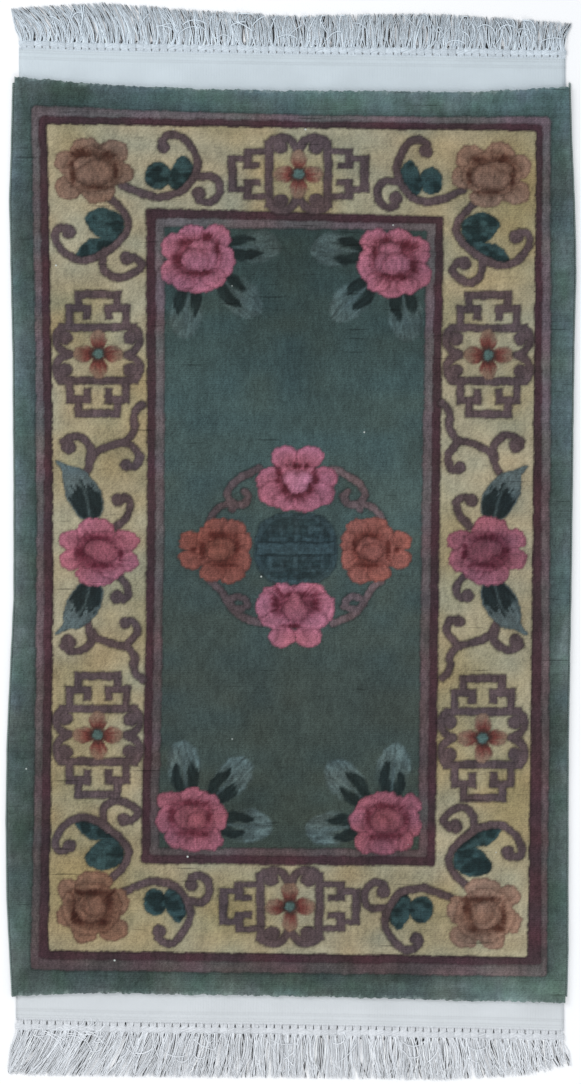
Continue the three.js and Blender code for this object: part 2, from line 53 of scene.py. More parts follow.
SHIFT = np.array([
    (CLOTH_LOW.x + CLOTH_HIGH.x) / 2 - CLOTH_MIDDLE[0] * MM,
    (CLOTH_LOW.y + CLOTH_HIGH.y) / 2 - CLOTH_MIDDLE[1] * MM,
    0,
])

# Photo: its size in pixels, the pixel over the rug's middle, its scale, and the height where this holds
PHOTO = {"wide": 581, "high": 1084, "middle_x": 291, "middle_y": 541.5, "mm": 1.6234}
SEEN_AT = 7

# Camera's height in metres, the daylight's strength, and lamps: name, place in metres, watts and size
CAMERA_HIGH = 4.5
DAYLIGHT = 0.74
LAMPS = [("window", (-2.4, 1.4, 2.8), 56, 1.8), ("fill", (1.2, -2.8, 2.8), 44, 2.6)]

# Heights above the floor and rises above the plain pile
GROUND_TOP = 3
PILE_TOP = 12
BAND_RISE = 0.8
LINE_RISE = 1.5
LEAF_RISE = 1.5
PETAL_RISE = 2
BUD_RISE = 2.6

# The pile's grid before it follows the edges: the distance between its points, and its sides and ends
SPACING = 2.38
RECTANGLE = ((-457, 457), (-740, 738))

# Widths of the side cords, the play beside them and the carved lines
CORD_THICK = 4
GAP = 0.3
LINE_WIDE = 12.5
VINE_WIDE = 12

# Distances from the flat weave's end to its raised weft ribs
RIBS = (4, 8, 15, 18)

# Sides of the rug over the cords: y, left, right
SIDES = np.array([
    (746, -453, 455), (636, -456, 458), (554, -458.5, 462), (441, -456, 464.3), (310, -453, 461),
    (92, -451.5, 458.5), (-95, -451.5, 456), (-257, -459.5, 453), (-338, -462.7, 452),
    (-460, -464.3, 451.5), (-582, -462.7, 451.5), (-663, -458.5, 451.5), (-740, -454.5, 449.5),
])[::-1]

# Ends from left to right: x, where the pile stops, where the flat weave stops, where the locks reach
ENDS = {
    "upper": np.array([
        (-446, 754, 803, 864), (-365, 746, 800, 871), (-284, 740, 798, 876), (-160, 735, 796, 865),
        (0, 731.5, 793, 855), (150, 731, 791, 858), (230, 730, 790, 858), (300, 729, 789, 854),
        (365, 733, 788, 850), (446, 738, 787, 843),
    ]),
    "lower": np.array([
        (-446, -737, -777, -863), (-365, -733, -779, -868), (-284, -733, -781, -869),
        (-160, -735, -783, -871), (0, -738, -785, -872), (150, -741, -788, -874), (230, -743, -790, -876),
        (300, -745, -791, -872), (365, -746, -793, -868), (446, -749, -795, -850),
    ]),
}
PILE, WEAVE, TIP = 1, 2, 3
WEAVE_SIDES = {"upper": (-442, 446), "lower": (-447, 444)}

# Guard bands: outer edge, line between the colours and inner edge, each with its corners from the upper
# left one anticlockwise, how far its left, lower, right and upper sides bow inwards, and its roundness
GUARDS = {
    "outer": [
        ([(-421, 707), (-422, -695), (415, -705), (421, 689)], (9, 0, -2, 6), 9),
        ([(-409, 690), (-409, -677), (406, -687), (408, 677)], (9, 0, 1, 2), 7),
        ([(-396, 677), (-394, -663), (384, -674), (398, 665)], (9, 0, -1, 0), 5),
    ],
    "inner": [
        ([(-235, 540), (-243, -522), (234, -526), (247, 527)], (5, 0, 0, 0), 5),
        ([(-220, 525), (-229, -508), (221, -511), (234, 515)], (4, 0, 1, 0), 4),
        ([(-205, 510), (-215, -496), (207, -499), (220, 504)], (4, 0, 2, 0), 3),
    ],
}

# Dyes
FIELD = {"y": [-500, -250, 50, 250, 510],
         "tint": [(57, 67, 61), (60, 71, 68), (65, 81, 79), (60, 77, 76), (49, 64, 62)]}
BAND = {"y": [-715, -400, 0, 450, 715],
        "tint": [(71, 85, 80), (67, 80, 76), (69, 84, 82), (73, 89, 87), (75, 94, 93)]}
CREAM, CREAM_DEEP = (152, 145, 122), (140, 126, 92)
PLUM = (64, 45, 50)
MAUVE, MAUVE_LOW = (94, 86, 89), (82, 71, 72)
LINE = (80, 67, 69)
VINE = (90, 77, 80)
TEAL, TEAL_DEEP = (46, 67, 69), (25, 40, 41)
LEAF_PALE, LEAF_DARK, LEAF_RIB = (76, 88, 90), (26, 35, 36), (63, 75, 76)
ROUNDEL_TINT, ROUNDEL_DEEP = (51, 67, 71), (41, 56, 59)
# Cotton of the flat weave and of the fringe at each end: the upper end's is painted darker and cooler, as
# painted shade where less daylight falls
COTTON_LIT_AND_SHADED = {"upper": (204, 214, 220), "lower": (213, 217, 220)}
YARN_LIT_AND_SHADED = {"upper": (212, 222, 230), "lower": (224, 227, 231)}
# The cord's wool, and the darker colour painted in the valleys between its turns as shade
CORD_TINT, CORD_VALLEY_SHADE = (134, 148, 145), (76, 92, 90)
FLOOR_TINT, LINT, FRAYED = (246, 246, 247), (195, 202, 198), (152, 165, 162)

# Places painted lighter or darker as painted sheen, where the nap lies so that it catches more or less
# light: x, y, half-sizes, and how much
PAINTED_NAP_SHADING = [
    (440, 560, 30, 70, -0.12), (440, 360, 30, 110, 0.18), (440, -290, 30, 50, -0.15),
    (440, -30, 30, 80, 0.15), (440, -180, 30, 50, 0.3), (440, -480, 30, 150, 0.08),
    (-436, 540, 30, 120, -0.18), (-440, 270, 26, 110, 0.08), (-440, 20, 26, 120, 0.08),
    (-436, -180, 26, 60, 0.16), (-436, -430, 26, 110, 0.04), (-440, -640, 26, 50, 0.1),
    (-380, -715, 70, 26, -0.04), (-235, -715, 36, 26, -0.14), (-154, -715, 34, 26, 0.14),
    (30, -715, 90, 26, -0.1), (183, -715, 40, 26, -0.14), (350, -715, 120, 34, 0.34),
    (-330, 725, 110, 30, -0.2), (120, 715, 120, 26, 0.1), (300, 715, 120, 30, 0.14),
    (340, -610, 80, 60, 0.13), (180, 0, 60, 160, 0.09), (-150, 0, 60, 120, -0.08),
    (-150, 260, 70, 90, 0.06), (160, 250, 60, 90, 0.07), (0, 420, 60, 70, -0.06),
    (0, -260, 110, 60, -0.02), (60, 300, 50, 70, -0.05), (-60, -430, 70, 50, -0.05),
]

# Places where the cream wool has yellowed: x, y and half-sizes
SALLOW = [(-340, -560, 120, 100), (365, 560, 70, 130), (-100, -600, 70, 60), (360, -420, 60, 90)]

# Wool of the flowers: outer part of the petals, their dark roots, also used as painted shade in the hollows
# round the bud, and the bud
PINK = ((147, 91, 108), (76, 30, 40), (138, 87, 104))
PINK_HEART = ((144, 89, 106), (76, 30, 40), (160, 106, 128))
PINK_SIDE = ((143, 88, 102), (76, 28, 41), (117, 67, 79))
PINK_LOW = ((137, 82, 95), (86, 36, 47), (122, 71, 81))
PINK_ROSE = ((148, 92, 108), (76, 28, 40), (132, 78, 91))
TAN = ((116, 93, 80), (62, 37, 29), (106, 84, 73))
TAN_LOW = ((115, 88, 73), (58, 30, 23), (107, 79, 66))
RUST = ((122, 75, 68), (74, 33, 28), (118, 72, 66))
RUST_DARK = ((124, 75, 67), (80, 37, 32), (118, 73, 64))

# Flowers: half-sizes, then ellipses as x, y and half-sizes: the petals from back to front, the hollows
# round the bud, painted dark as shade, and the bud's folds from back to front, each a group of joined
# ellipses
FLOWERS = {
    "field": (
        (62, 58),
        [
            (-8, 32, 25, 22), (29, 31, 26, 23), (-35, 16, 25, 24), (-37, -22, 24, 22), (36, -6, 24, 30),
            (3, -36, 33, 23), (-22, -38, 20, 16), (25, -33, 20, 18), (1, 0, 38, 32),
        ],
        [
            (-32, -8, 8, 10), (-22, 25, 13, 6), (16, 34, 8, 6), (31, 14, 4, 12), (-6, -25, 18, 4),
            (14, -22, 8, 4),
        ],
        [[(6, 18, 19, 12)], [(16, -3, 15, 17)], [(-6, -3, 22, 17), (4, -6, 16, 15)]],
    ),
    "low": (
        (57, 52),
        [
            (-20, 30, 20, 14), (3, 34, 26, 17), (-38, 28, 19, 18), (-40, -1, 18, 24), (27, 22, 21, 20),
            (38, 2, 21, 22), (-23, -28, 21, 20), (32, -32, 18, 20), (4, -36, 26, 17), (0, 0, 38, 31),
        ],
        [(-31, 6, 7, 13), (-2, 25, 22, 4.5), (28, 6, 4, 12), (-4, -23, 20, 4), (22, -24, 7, 5)],
        [[(-3, 3, 26, 19)], [(8, -2, 16, 14)]],
    ),
    "corner": (
        (66, 56),
        [
            (-13, 33, 25, 20), (34, 27, 25, 22), (-44, 12, 20, 20), (-40, -29, 23, 20), (46, -5, 21, 18),
            (8, -35, 29, 19), (0, 0, 48, 37),
        ],
        [
            (-20, 24, 15, 7), (24, 24, 10, 6), (37, -3, 4, 12), (4, -29, 20, 2.5), (-33, -12, 4, 10),
            (-32, 8, 8, 6),
        ],
        [[(-8, 8, 24, 14)], [(8, -3, 25, 20), (-8, -8, 22, 16)]],
    ),
    "corner_low": (
        (62, 56),
        [
            (-1, 42, 31, 18), (41, 31, 18, 18), (45, -11, 17, 19), (-32, -34, 25, 19), (-41, 10, 20, 23),
            (13, -38, 21, 18), (2, 0, 50, 43),
        ],
        [(-2, 26, 26, 4), (31, -3, 4, 16), (-17, -22, 8, 5), (21, -21, 8, 6), (-27, 12, 5, 9)],
        [[(4, 0, 25, 22)], [(-2, 4, 19, 17)]],
    ),
    "side": (
        (62, 53),
        [
            (-42, 19, 23, 18), (-45, -12, 22, 18), (46, 18, 24, 18), (47, -15, 21, 18), (-4, 33, 31, 24),
            (-2, -35, 36, 22), (24, -28, 22, 18), (6, 0, 43, 33),
        ],
        [(2, 22, 25, 5), (-27, -2, 9, 11), (6, -22, 22, 4), (39, -3, 4, 10), (-14, 12, 7, 7)],
        [[(4, 4, 27, 15), (12, -2, 24, 15)]],
    ),
    "upper": (
        (53, 40),
        [
            (-20, 48, 23, 20), (20, 48, 23, 20), (0, 3, 56, 34), (-45, 12, 21, 21), (45, 12, 21, 21),
            (-36, -10, 26, 20), (36, -10, 26, 20), (-15, -22, 25, 17), (15, -22, 25, 17),
        ],
        [
            (0, 34, 20, 5), (-30, 17, 5, 9), (29, 17, 5, 9), (-20, -3, 5, 7), (20, -3, 5, 7),
            (0, -13, 10, 3),
        ],
        [[(-10, 14, 13, 12), (10, 14, 13, 12), (0, 5, 18, 15)]],
    ),
    "lower": (
        (54, 41),
        [
            (-21, -47, 23, 19), (21, -47, 23, 19), (0, 4, 57, 32), (-24, 22, 29, 17), (22, 23, 29, 17),
            (-46, 0, 19, 24), (46, -2, 19, 24), (-26, -22, 29, 15), (25, -22, 29, 15),
        ],
        [(-31, 7, 8, 15), (32, 7, 8, 14), (0, 19, 20, 4), (-4, -31, 16, 3)],
        [[(0, -6, 19, 18), (0, 6, 12, 15), (0, 15, 6, 9)]],
    ),
    "rosette": (
        (46, 52),
        [
            (52, 15, 21, 17), (52, -14, 21, 17), (2, 0, 42, 44), (10, 38, 24, 16), (-18, 34, 20, 18),
            (-31, 12, 15, 19), (-30, -14, 16, 19), (-12, -38, 22, 16), (18, -34, 20, 17),
            (28, 22, 15, 18),
        ],
        [(6, 25, 17, 4), (-22, 8, 3, 11), (2, -24, 17, 3), (33, 2, 4, 14), (48, 2, 4, 4)],
        [[(4, 3, 24, 18)], [(8, -2, 19, 14)]],
    ),
}

# Where the flowers stand: kind, x, y, mirroring and stretch across, wool, and how light it is
STANDS = [
    ("corner", -321, 603, 1, 0.98, TAN, 0.99),
    ("corner", 326, 595, -1, 0.99, TAN, 1.06),
    ("corner_low", -321, -595, -1, 0.98, TAN_LOW, 0.96),
    ("corner_low", 313, -606, 1, 1, TAN, 1.06),
    ("field", -151, 460, 1, 1, PINK, 0.96),
    ("field", 167, 454, -1, 0.98, PINK, 0.97),
    ("low", -161, -450, 1, 1, PINK_LOW, 0.98),
    ("low", 154, -455, -1, 1, PINK_LOW, 0.96),
    ("side", -313, -17, 1, 0.95, PINK_SIDE, 1.02),
    ("side", 319, -16, -1, 0.95, PINK_SIDE, 0.92),
    ("upper", 10, 88, 1, 1, PINK_HEART, 1.02),
    ("lower", 7, -106, 1, 1, PINK_ROSE, 1.04),
    ("rosette", -110, -15, -1, 1, RUST_DARK, 1),
    ("rosette", 125, -15, 1, 0.97, RUST, 1.02),
]

# Medallion: its middle, the vines of its upper and lower right quarters, and the round fret
MEDALLION = (8, -12)
VINES = [
    [(60, 130), (84, 119), (104, 104), (112, 88), (103, 74), (87, 72), (77, 83), (84, 93)],
    [(103, 74), (121, 69), (132, 60), (139, 48)],
    [(108, 80), (104, 64)],
    [(139, -52), (122, -66), (112, -84), (98, -102), (80, -113), (60, -120)],
    [(110, -84), (96, -78), (82, -82), (78, -93)],
    [(100, -99), (86, -96)],
]
ROUNDEL = {"across": 66, "along": 58, "rim": 9, "bar_wide": 8}
ROUNDEL_BARS = [
    (0, 58, 0, 0), (0, 0, 14, 50), (14, 42, 15, 15), (42, 42, 15, 34), (22, 42, 34, 34), (22, 22, 26, 34),
]

# Frets: centre, whether the long side runs along the rug, stretch, and places across as drawn and as woven
ROUND, SQUEEZED = ((0, 200), (0, 200)), ((0, 51.75, 74.25, 200), (0, 41, 66, 190))
FRETS = [
    (-313, 304, True, 1, ROUND),
    (320, 303, True, 1, ROUND),
    (-313, -314, True, 1, ROUND),
    (311, -319, True, 1, ROUND),
    (12, 596, False, 1.11, SQUEEZED),
    (-2, -592, False, 1.11, SQUEEZED),
]

# Bars of one quarter of a fret: first and last place along, then across, through the middle of the bar
FRET_BARS = [
    (96.5, 96.5, 0, 31.5), (74, 96.5, 31.5, 31.5), (74, 74, 17.5, 45.5), (62, 74, 17.5, 17.5),
    (43, 74, 45.5, 45.5), (43, 43, 0, 58),
]
FRET_CURL = [(43, 58), (36, 65), (24, 68), (13, 65), (5, 57), (0, 46)]
FRET_BALL = (26.5, 53, 11.5)
FRET_PETAL = {"out": 24, "long": 16, "wide": 13.5, "tint": (121, 98, 83), "root": (98, 50, 45),
              "hollow": (72, 46, 41), "heart": (76, 97, 93)}

# Scrolls from a corner flower: its place, mirroring, how wide the hook beside the inner guard is, and how
# far the scroll along the end border reaches
CORNERS = [
    (-321, 603, 1, -1, 1, 1),
    (326, 595, -1, -1, 0.76, 0.865),
    (-321, -595, 1, 1, 0.9, 0.89),
    (313, -606, -1, 1, 0.76, 0.92),
]
# Hooks and curls end in the middle and radius of their ball. Hooks are stretched from these places.
HOOK_X, SIDE_X, SIDE_Y = 18, 30, 180
CORNER_HOOK = [(15, 140), (18, 163), (39, 175), (65, 168), (80, 154), (66, 142), (54, 144, 11)]
CORNER_SCROLLS = [
    [
        (28, 47), (47, 65), (57, 88), (49, 109), (24, 131), (3, 143), (-23, 147), (-48, 133), (-61, 112),
        (-58, 96), (-45, 94),
    ],
    [
        (47, 25), (72, 36), (93, 42), (109, 44), (140, 37), (159, 18), (169, -3), (167, -21), (154, -42),
        (140, -55), (123, -56), (111, -48),
    ],
    [(163, 12), (192, 11), (205, 24), (203, 42), (188, 53), (172, 50)],
]
CORNER_BALLS = [(-39, 101, 11), (114, -38, 11), (172, 38, 11)]
CORNER_LEAVES = [
    [
        (-14, 84), (-8, 71), (3, 64), (18, 62), (34, 66), (46, 75), (50, 88), (46, 102), (34, 111),
        (18, 112), (0, 102),
    ],
    [
        (-28, 139), (-20, 124), (-6, 113), (10, 111), (30, 106), (44, 106), (40, 121), (28, 136),
        (8, 144), (-14, 144),
    ],
    [(84, 8), (90, -6), (104, -13), (118, -8), (126, 4), (124, 20), (112, 31), (96, 30), (86, 20)],
    [(124, 4), (134, -14), (146, -24), (158, -14), (164, 0), (158, 16), (146, 30), (132, 34), (122, 22)],
]

# Scrolls above and below a side flower: its place, mirroring, growth of the stems and of the leaf, the
# hook's width and length, and how far the curl's end is tucked in
SPRAYS = [
    (-313, -17, 1, 1, 1, 1, 0.88, 1, 0),
    (-313, -17, 1, -1, 0.86, 0.9, 0.79, 1.2, 0),
    (317, -15, -1, 1, 1, 0.93, 0.77, 1.18, 6),
    (317, -15, -1, -1, 0.86, 0.92, 0.81, 1.2, 0),
]
SIDE_STEMS = [
    [(72, 240), (62, 229), (58, 214), (60, 200), (47, 180), (35, 177), (13, 170), (-7, 157), (-20, 127)],
    [(-15, 148), (-12, 169), (-27, 186), (-44, 186), (-56, 178)],
]
SIDE_BALL = (-48, 171, 12)
SIDE_HOOK = [(47, 180), (62, 168), (73, 155), (66, 140), (56, 138), (48, 141, 9.5)]
SIDE_CURL = [(30, 39), (50, 59), (55, 79), (45, 90), (34, 85, 10.5)]
SIDE_LEAF = {
    "outline": [
        (-14, 52), (2, 56), (9, 70), (8, 86), (3, 103), (-10, 121), (-26, 135), (-44, 140), (-68, 148),
        (-58, 132), (-56, 112), (-53, 94), (-42, 72), (-28, 56),
    ],
    "rib": [(-12, 52), (-18, 83), (-25, 103), (-38, 125)],
}

# Leaves on the field flowers: the flower's place, how clear they are, and the root and turn of each
FIELD_LEAVES = [
    (-151, 460, 0.66, [(50, 16, 3), (38, -34, -44), (-13, -46, -98)]),
    (167, 454, 0.74, [(-50, 16, 177), (-38, -34, 224), (13, -46, 278)]),
    (-161, -450, 0.95, [(46, -8, -4), (36, 34, 48), (-8, 44, 97)]),
    (154, -455, 0.95, [(-46, -8, 184), (-36, 34, 132), (8, 44, 83)]),
]
FIELD_LEAF = {"long": 84, "wide": 27, "pale": (78, 92, 92), "dark": (23, 33, 33), "rib": (68, 82, 84)}

# Fringe: bundles at each end, yarns below and above each knot, strays, and the knots' place and half length
FRINGE = {"bundles": 70, "yarns": 15, "gathered": 9, "strays": 60}
YARN_RADIUS = 0.85
OUT = {"upper": 1, "lower": -1}
KNOTS = {"upper": (7.6, 5), "lower": (11.5, 6)}
# How far the tips lean sideways: x, then how far
LEANS = {
    "upper": [(-446, -26), (-330, -26), (-200, -12), (-60, -2), (100, 3), (250, 6), (350, -2), (446, 5)],
    "lower": [
        (-446, -26), (-400, -42), (-320, -40), (-200, -20), (-80, -5), (60, 2), (200, 9), (330, 16),
        (446, 7),
    ],
}
# How far out from the flat weave dark ends lie in the gaps between the bundles as painted shade, and how the
# yarns curve to the side
GAPS = {"upper": (14.8,), "lower": (3.2, 20)}
CURVES = {"upper": 2, "lower": 1.15}
# The share of low yarns painted dark as shade under the fringe, and how much darker the tips of the others
# are
DARK_LOW_YARNS_AND_TIPS = {"upper": (0.21, 0.14), "lower": (0.14, 0.02)}


def noise(x, y, cell_x, cell_y, seed):
    """Smooth unevenness from -1 to 1 over cells of that size."""
    table = np.random.default_rng(seed).uniform(-1, 1, (257, 257))
    table[-1] = table[0]
    table[:, -1] = table[:, 0]
    gx = (x / cell_x + 1024) % 256
    gy = (y / cell_y + 1024) % 256
    ix, iy = gx.astype(int), gy.astype(int)
    fx, fy = gx - ix, gy - iy
    fx, fy = fx * fx * (3 - 2 * fx), fy * fy * (3 - 2 * fy)
    low = table[iy, ix] * (1 - fx) + table[iy, ix + 1] * fx
    high = table[iy + 1, ix] * (1 - fx) + table[iy + 1, ix + 1] * fx
    return low * (1 - fy) + high * fy


def ramp(value, low, high):
    """0 below low and 1 above high, with a smooth rise between."""
    share = np.clip((value - low) / (high - low), 0, 1)
    return share * share * (3 - 2 * share)


def bell(value, width):
    """1 at 0, falling smoothly to nothing on both sides."""
    return np.exp(-((value / width) ** 2))


def mix(first, second, share):
    share = np.asarray(share, float)[..., None]
    return np.asarray(first, float) * (1 - share) + np.asarray(second, float) * share


def by_place(dye):
    """A dye that changes from the lower to the upper end."""
    return np.stack([np.interp(Y, dye["y"], channel) for channel in zip(*dye["tint"])], -1)


def toned(tint, amount):
    """A dye made lighter or darker from place to place."""
    return np.asarray(tint) * (1 + amount)[..., None]


def to_ellipse(x, y, half_x, half_y):
    """Distance to an ellipse about the origin, negative inside, as all distances here."""
    reach = np.hypot(x / half_x, y / half_y)
    slope = np.maximum(np.hypot(x / half_x**2, y / half_y**2), 1e-5)
    return reach * (reach - 1) / slope


def to_line(x, y, points):
    """Distance to the line through some points."""
    nearest = np.full(x.shape, 1e9)
    for (ax, ay), (bx, by) in zip(points[:-1], points[1:]):
        ux, uy = bx - ax, by - ay
        share = np.clip(((x - ax) * ux + (y - ay) * uy) / (ux * ux + uy * uy), 0, 1)
        nearest = np.minimum(nearest, np.hypot(x - ax - share * ux, y - ay - share * uy))
    return nearest


def to_loop(x, y, points):
    """Distance to a closed outline."""
    closed = [*points, points[0]]
    inside = np.zeros(x.shape, bool)
    for (ax, ay), (bx, by) in zip(closed[:-1], closed[1:]):
        if ay != by:
            crossed = (ay > y) != (by > y)
            inside ^= crossed & (x < ax + (y - ay) * (bx - ax) / (by - ay))
    return np.where(inside, -1, 1) * to_line(x, y, closed)


def to_bar(x, y, ends, half):
    """Distance to an upright or level bar with square ends."""
    x0, x1, y0, y1 = ends
    dx = np.abs(x - (x0 + x1) / 2) - abs(x1 - x0) / 2 - half
    dy = np.abs(y - (y0 + y1) / 2) - abs(y1 - y0) / 2 - half
    return np.hypot(np.maximum(dx, 0), np.maximum(dy, 0)) + np.minimum(np.maximum(dx, dy), 0)


def smooth_line(points, steps=5):
    """More points on a smooth curve through these."""
    p = np.array(points, float)
    p = np.vstack([2 * p[0] - p[1], p, 2 * p[-1] - p[-2]])
    t = np.arange(steps)[:, None] / steps
    runs = []
    for i in range(1, len(p) - 2):
        before, here, after, beyond = p[i - 1], p[i], p[i + 1], p[i + 2]
        bend = (2 * before - 5 * here + 4 * after - beyond) * t**2
        twist = (3 * here - before - 3 * after + beyond) * t**3
        runs.append((2 * here + (after - before) * t + bend + twist) / 2)
    return np.vstack([*runs, p[-2]])


def smooth_ring(points):
    """More points on a smooth closed curve through these."""
    return smooth_line([*points[-2:], *points, *points[:2]], 4)[8:-8]


def to_guard(corners, bows, radius):
    """Distance to one edge of a guard band, whose sides bow inwards and whose corners are rounded."""
    held = corners - radius * np.sign(corners)
    share = np.arange(6)[:, None] / 6
    inwards = np.array([(1, 0), (0, 1), (-1, 0), (0, -1)])
    points = np.vstack([
        here + (there - here) * share + bow * np.sin(share * math.pi) * inward
        for here, there, bow, inward in zip(held, np.roll(held, -1, 0), bows, inwards)
    ])
    return to_loop(WAVER_X, WAVER_Y, points) - radius


def side_x(y, column):
    return np.interp(y, SIDES[:, 0], SIDES[:, column])


def end_y(end, x, column):
    return np.interp(x, ENDS[end][:, 0], ENDS[end][:, column])


# The pile's grid: a plain rectangle, whose rows and columns then follow the rug's own edges
GRID_X, GRID_Y = [np.linspace(low, high, round((high - low) / SPACING) + 1) for low, high in RECTANGLE]
ACROSS, ALONG = np.meshgrid(*[(line - line[0]) / (line[-1] - line[0]) for line in (GRID_X, GRID_Y)])
LOW_Y = end_y("lower", GRID_X, PILE)[None, :]
HIGH_Y = end_y("upper", GRID_X, PILE)[None, :]
Y = LOW_Y + (HIGH_Y - LOW_Y) * ALONG
LEFT_X = side_x(Y, 1) + CORD_THICK + GAP
RIGHT_X = side_x(Y, 2) - CORD_THICK - GAP
X = LEFT_X + (RIGHT_X - LEFT_X) * ACROSS
RIM = np.minimum(np.minimum(X - LEFT_X, RIGHT_X - X), np.minimum(Y - LOW_Y, HIGH_Y - Y))

# Hand-made lines waver a little
WAVER_X = X + 1.1 * noise(X, Y, 18, 18, 1) + 1 * noise(X, Y, 4.6, 4.6, 2)
WAVER_Y = Y + 1.1 * noise(X, Y, 18, 18, 3) + 1 * noise(X, Y, 4.6, 4.6, 4)
TINT = np.zeros(X.shape + (3,))
RISE = np.zeros(X.shape)


def around(x, y, reach):
    """The rows and columns of the grid within reach of a place."""
    first_column, last_column = np.searchsorted(GRID_X, (x - reach - 12, x + reach + 12))
    first_row, last_row = np.searchsorted(GRID_Y, (y - reach - 22, y + reach + 22))
    return np.s_[first_row:last_row, first_column:last_column]


EVERYWHERE = np.s_[:, :]


def patch(x, y, wide, high):
    """1 at a place of the pile, falling smoothly to nothing round it."""
    return np.exp(-((X - x) / wide) ** 2 - ((Y - y) / high) ** 2)


def lay(at, distance, tint, rise, shoulder=4, cut=1.2, edge=0.22, soft=1.9):
    """Works one shape into the pile: its dye, its rounded rise, and the cut along its edge, with painted
    shade darkening the cut.
    """
    inside = np.clip(0.5 - distance / soft, 0, 1)
    TINT[at] = mix(TINT[at], tint, inside)
    round_over = 1 - (1 - np.clip(-distance / shoulder, 0, 1)) ** 2
    RISE[at] = RISE[at] * (1 - inside) + rise * round_over * inside
    RISE[at] -= cut * bell(distance, 1.9)
    # Painted shade: the dye darkened on both sides of the edge, where the cut lies in shade
    TINT[at] *= 1 - edge * bell(distance - 0.5, 1.7)[..., None]


def local(at, x, y, sx=1, sy=1, turn=0, stretch=(1, 1)):
    """Places in a motif's own frame: turned, mirrored and stretched about its middle."""
    dx, dy = WAVER_X[at] - x, WAVER_Y[at] - y
    c, s = math.cos(math.radians(turn)), math.sin(math.radians(turn))
    return sx * (dx * c + dy * s) / stretch[0], sy * (dy * c - dx * s) / stretch[1]


def flower(kind, x, y, sx, wide, wool, tone):
    """A flower of ruffled petals, streaked with dark wool from its heart outwards."""
    light, dark, bud_tint = np.array(wool) * tone
    (half_x, half_y), petals, shaded_hollows, bud = FLOWERS[kind]
    seed = int(abs(x) + 3 * abs(y))
    at = around(x, y, 90)
    lx, ly = local(at, x, y, sx, 1, 0, (wide, 1))
    reach = np.hypot(lx / half_x, ly / half_y)
    ux, uy = lx / half_x / np.maximum(reach, 0.05), ly / half_y / np.maximum(reach, 0.05)
    streak = 0.45 * noise(ux * (4 + reach), uy * (4 + reach), 1, 1, seed)
    streak += 0.85 * noise(ux * (12 + 2 * reach), uy * (12 + 2 * reach), 1, 1, seed + 1)
    ruffle = 1.8 * noise(lx, ly, 7, 7, seed + 2) + 1.3 * streak
    for px, py, *halves in petals:
        distance = to_ellipse(lx - px, ly - py, *halves) + ruffle
        out = math.hypot(px, py)
        inner = (lx * px + ly * py) / max(out, 1) - out
        shade = ramp(reach + 0.15 * streak, 0.26, 0.74) * (0.7 + 0.3 * ramp(inner + 6 * streak, -16, 6))
        # Painted shade: each petal darker along its outline, where it overlaps the petal behind
        shade = shade * (1 - 0.26 * bell(distance, 2.6))
        tint = mix(mix(dark, light, 0.3), light, shade)
        # Painted highlight: a lighter band just inside each petal's outline
        tint = toned(tint, 0.07 * streak + 0.09 * bell(distance + 5.5, 3))
        lay(at, distance, tint, PETAL_RISE * (0.4 + 0.6 * shade), shoulder=8, cut=0.8, edge=0.08, soft=2.4)
    # Painted shade: the hollows round the bud are dyed dark where they lie low
    for px, py, wide, high in shaded_hollows:
        depth = np.hypot((lx - px) / wide, (ly - py) / high) - 0.85 * streak
        depth = np.exp(-0.8 * np.maximum(depth, 0) ** 2.6)
        TINT[at] = mix(TINT[at], dark, depth)
        RISE[at] -= 1.4 * depth
    fold = noise(lx, ly, 4.5, 11, seed + 3)
    for group in bud:
        distance = np.min([to_ellipse(lx - px, ly - py, *halves) for px, py, *halves in group], 0)
        distance += 1.5 * noise(lx, ly, 5, 5, seed + 4) + 1.2 * streak
        # Painted light: the bud lighter towards its middle and on its raised folds, darker at its edge
        lit = 0.35 + 0.65 * ramp(-distance, 0, 8)
        tint = toned(mix(mix(dark, bud_tint, 0.62), bud_tint, lit), 0.04 + 0.12 * fold)
        lay(at, distance, tint, BUD_RISE + 0.4 * fold, shoulder=10, cut=0.8, edge=0.12, soft=2.6)


def leaf(x, y, sx, sy, grow, outline, rib):
    """A pale leaf, dark on both sides of its midrib near the root."""
    at = around(x, y + sy * 95 * grow, 95)
    lx, ly = local(at, x, y, sx, sy, 0, (1, grow))
    distance = to_loop(lx, ly, smooth_ring(outline)) + 0.6 * noise(lx, ly, 4, 4, 61)
    (rx, ry), (ax, ay) = rib[0], np.subtract(rib[-1], rib[0])
    along = ((lx - rx) * ax + (ly - ry) * ay) / (ax * ax + ay * ay)
    side = to_line(lx, ly, smooth_line(rib))
    ragged = 0.2 * noise(lx + 0.5 * ly, ly, 3.4, 16, 62) + 0.08 * noise(lx, ly, 7, 7, 63)
    dark = ramp(0.8 + ragged - along - 0.007 * side, -0.04, 0.08) * ramp(-distance, 0.5, 3)
    ribbed = bell(side, 2.2) * ramp(1 - along, 0, 0.25)
    tint = toned(mix(LEAF_PALE, LEAF_DARK, 0.96 * dark), 0.14 * noise(lx + 0.5 * ly, ly, 3, 18, 64))
    lay(at, distance, mix(tint, LEAF_RIB, 0.9 * ribbed), LEAF_RISE, shoulder=6, cut=1, edge=0.16)
    RISE[at] -= 0.8 * ribbed * (distance < 0)


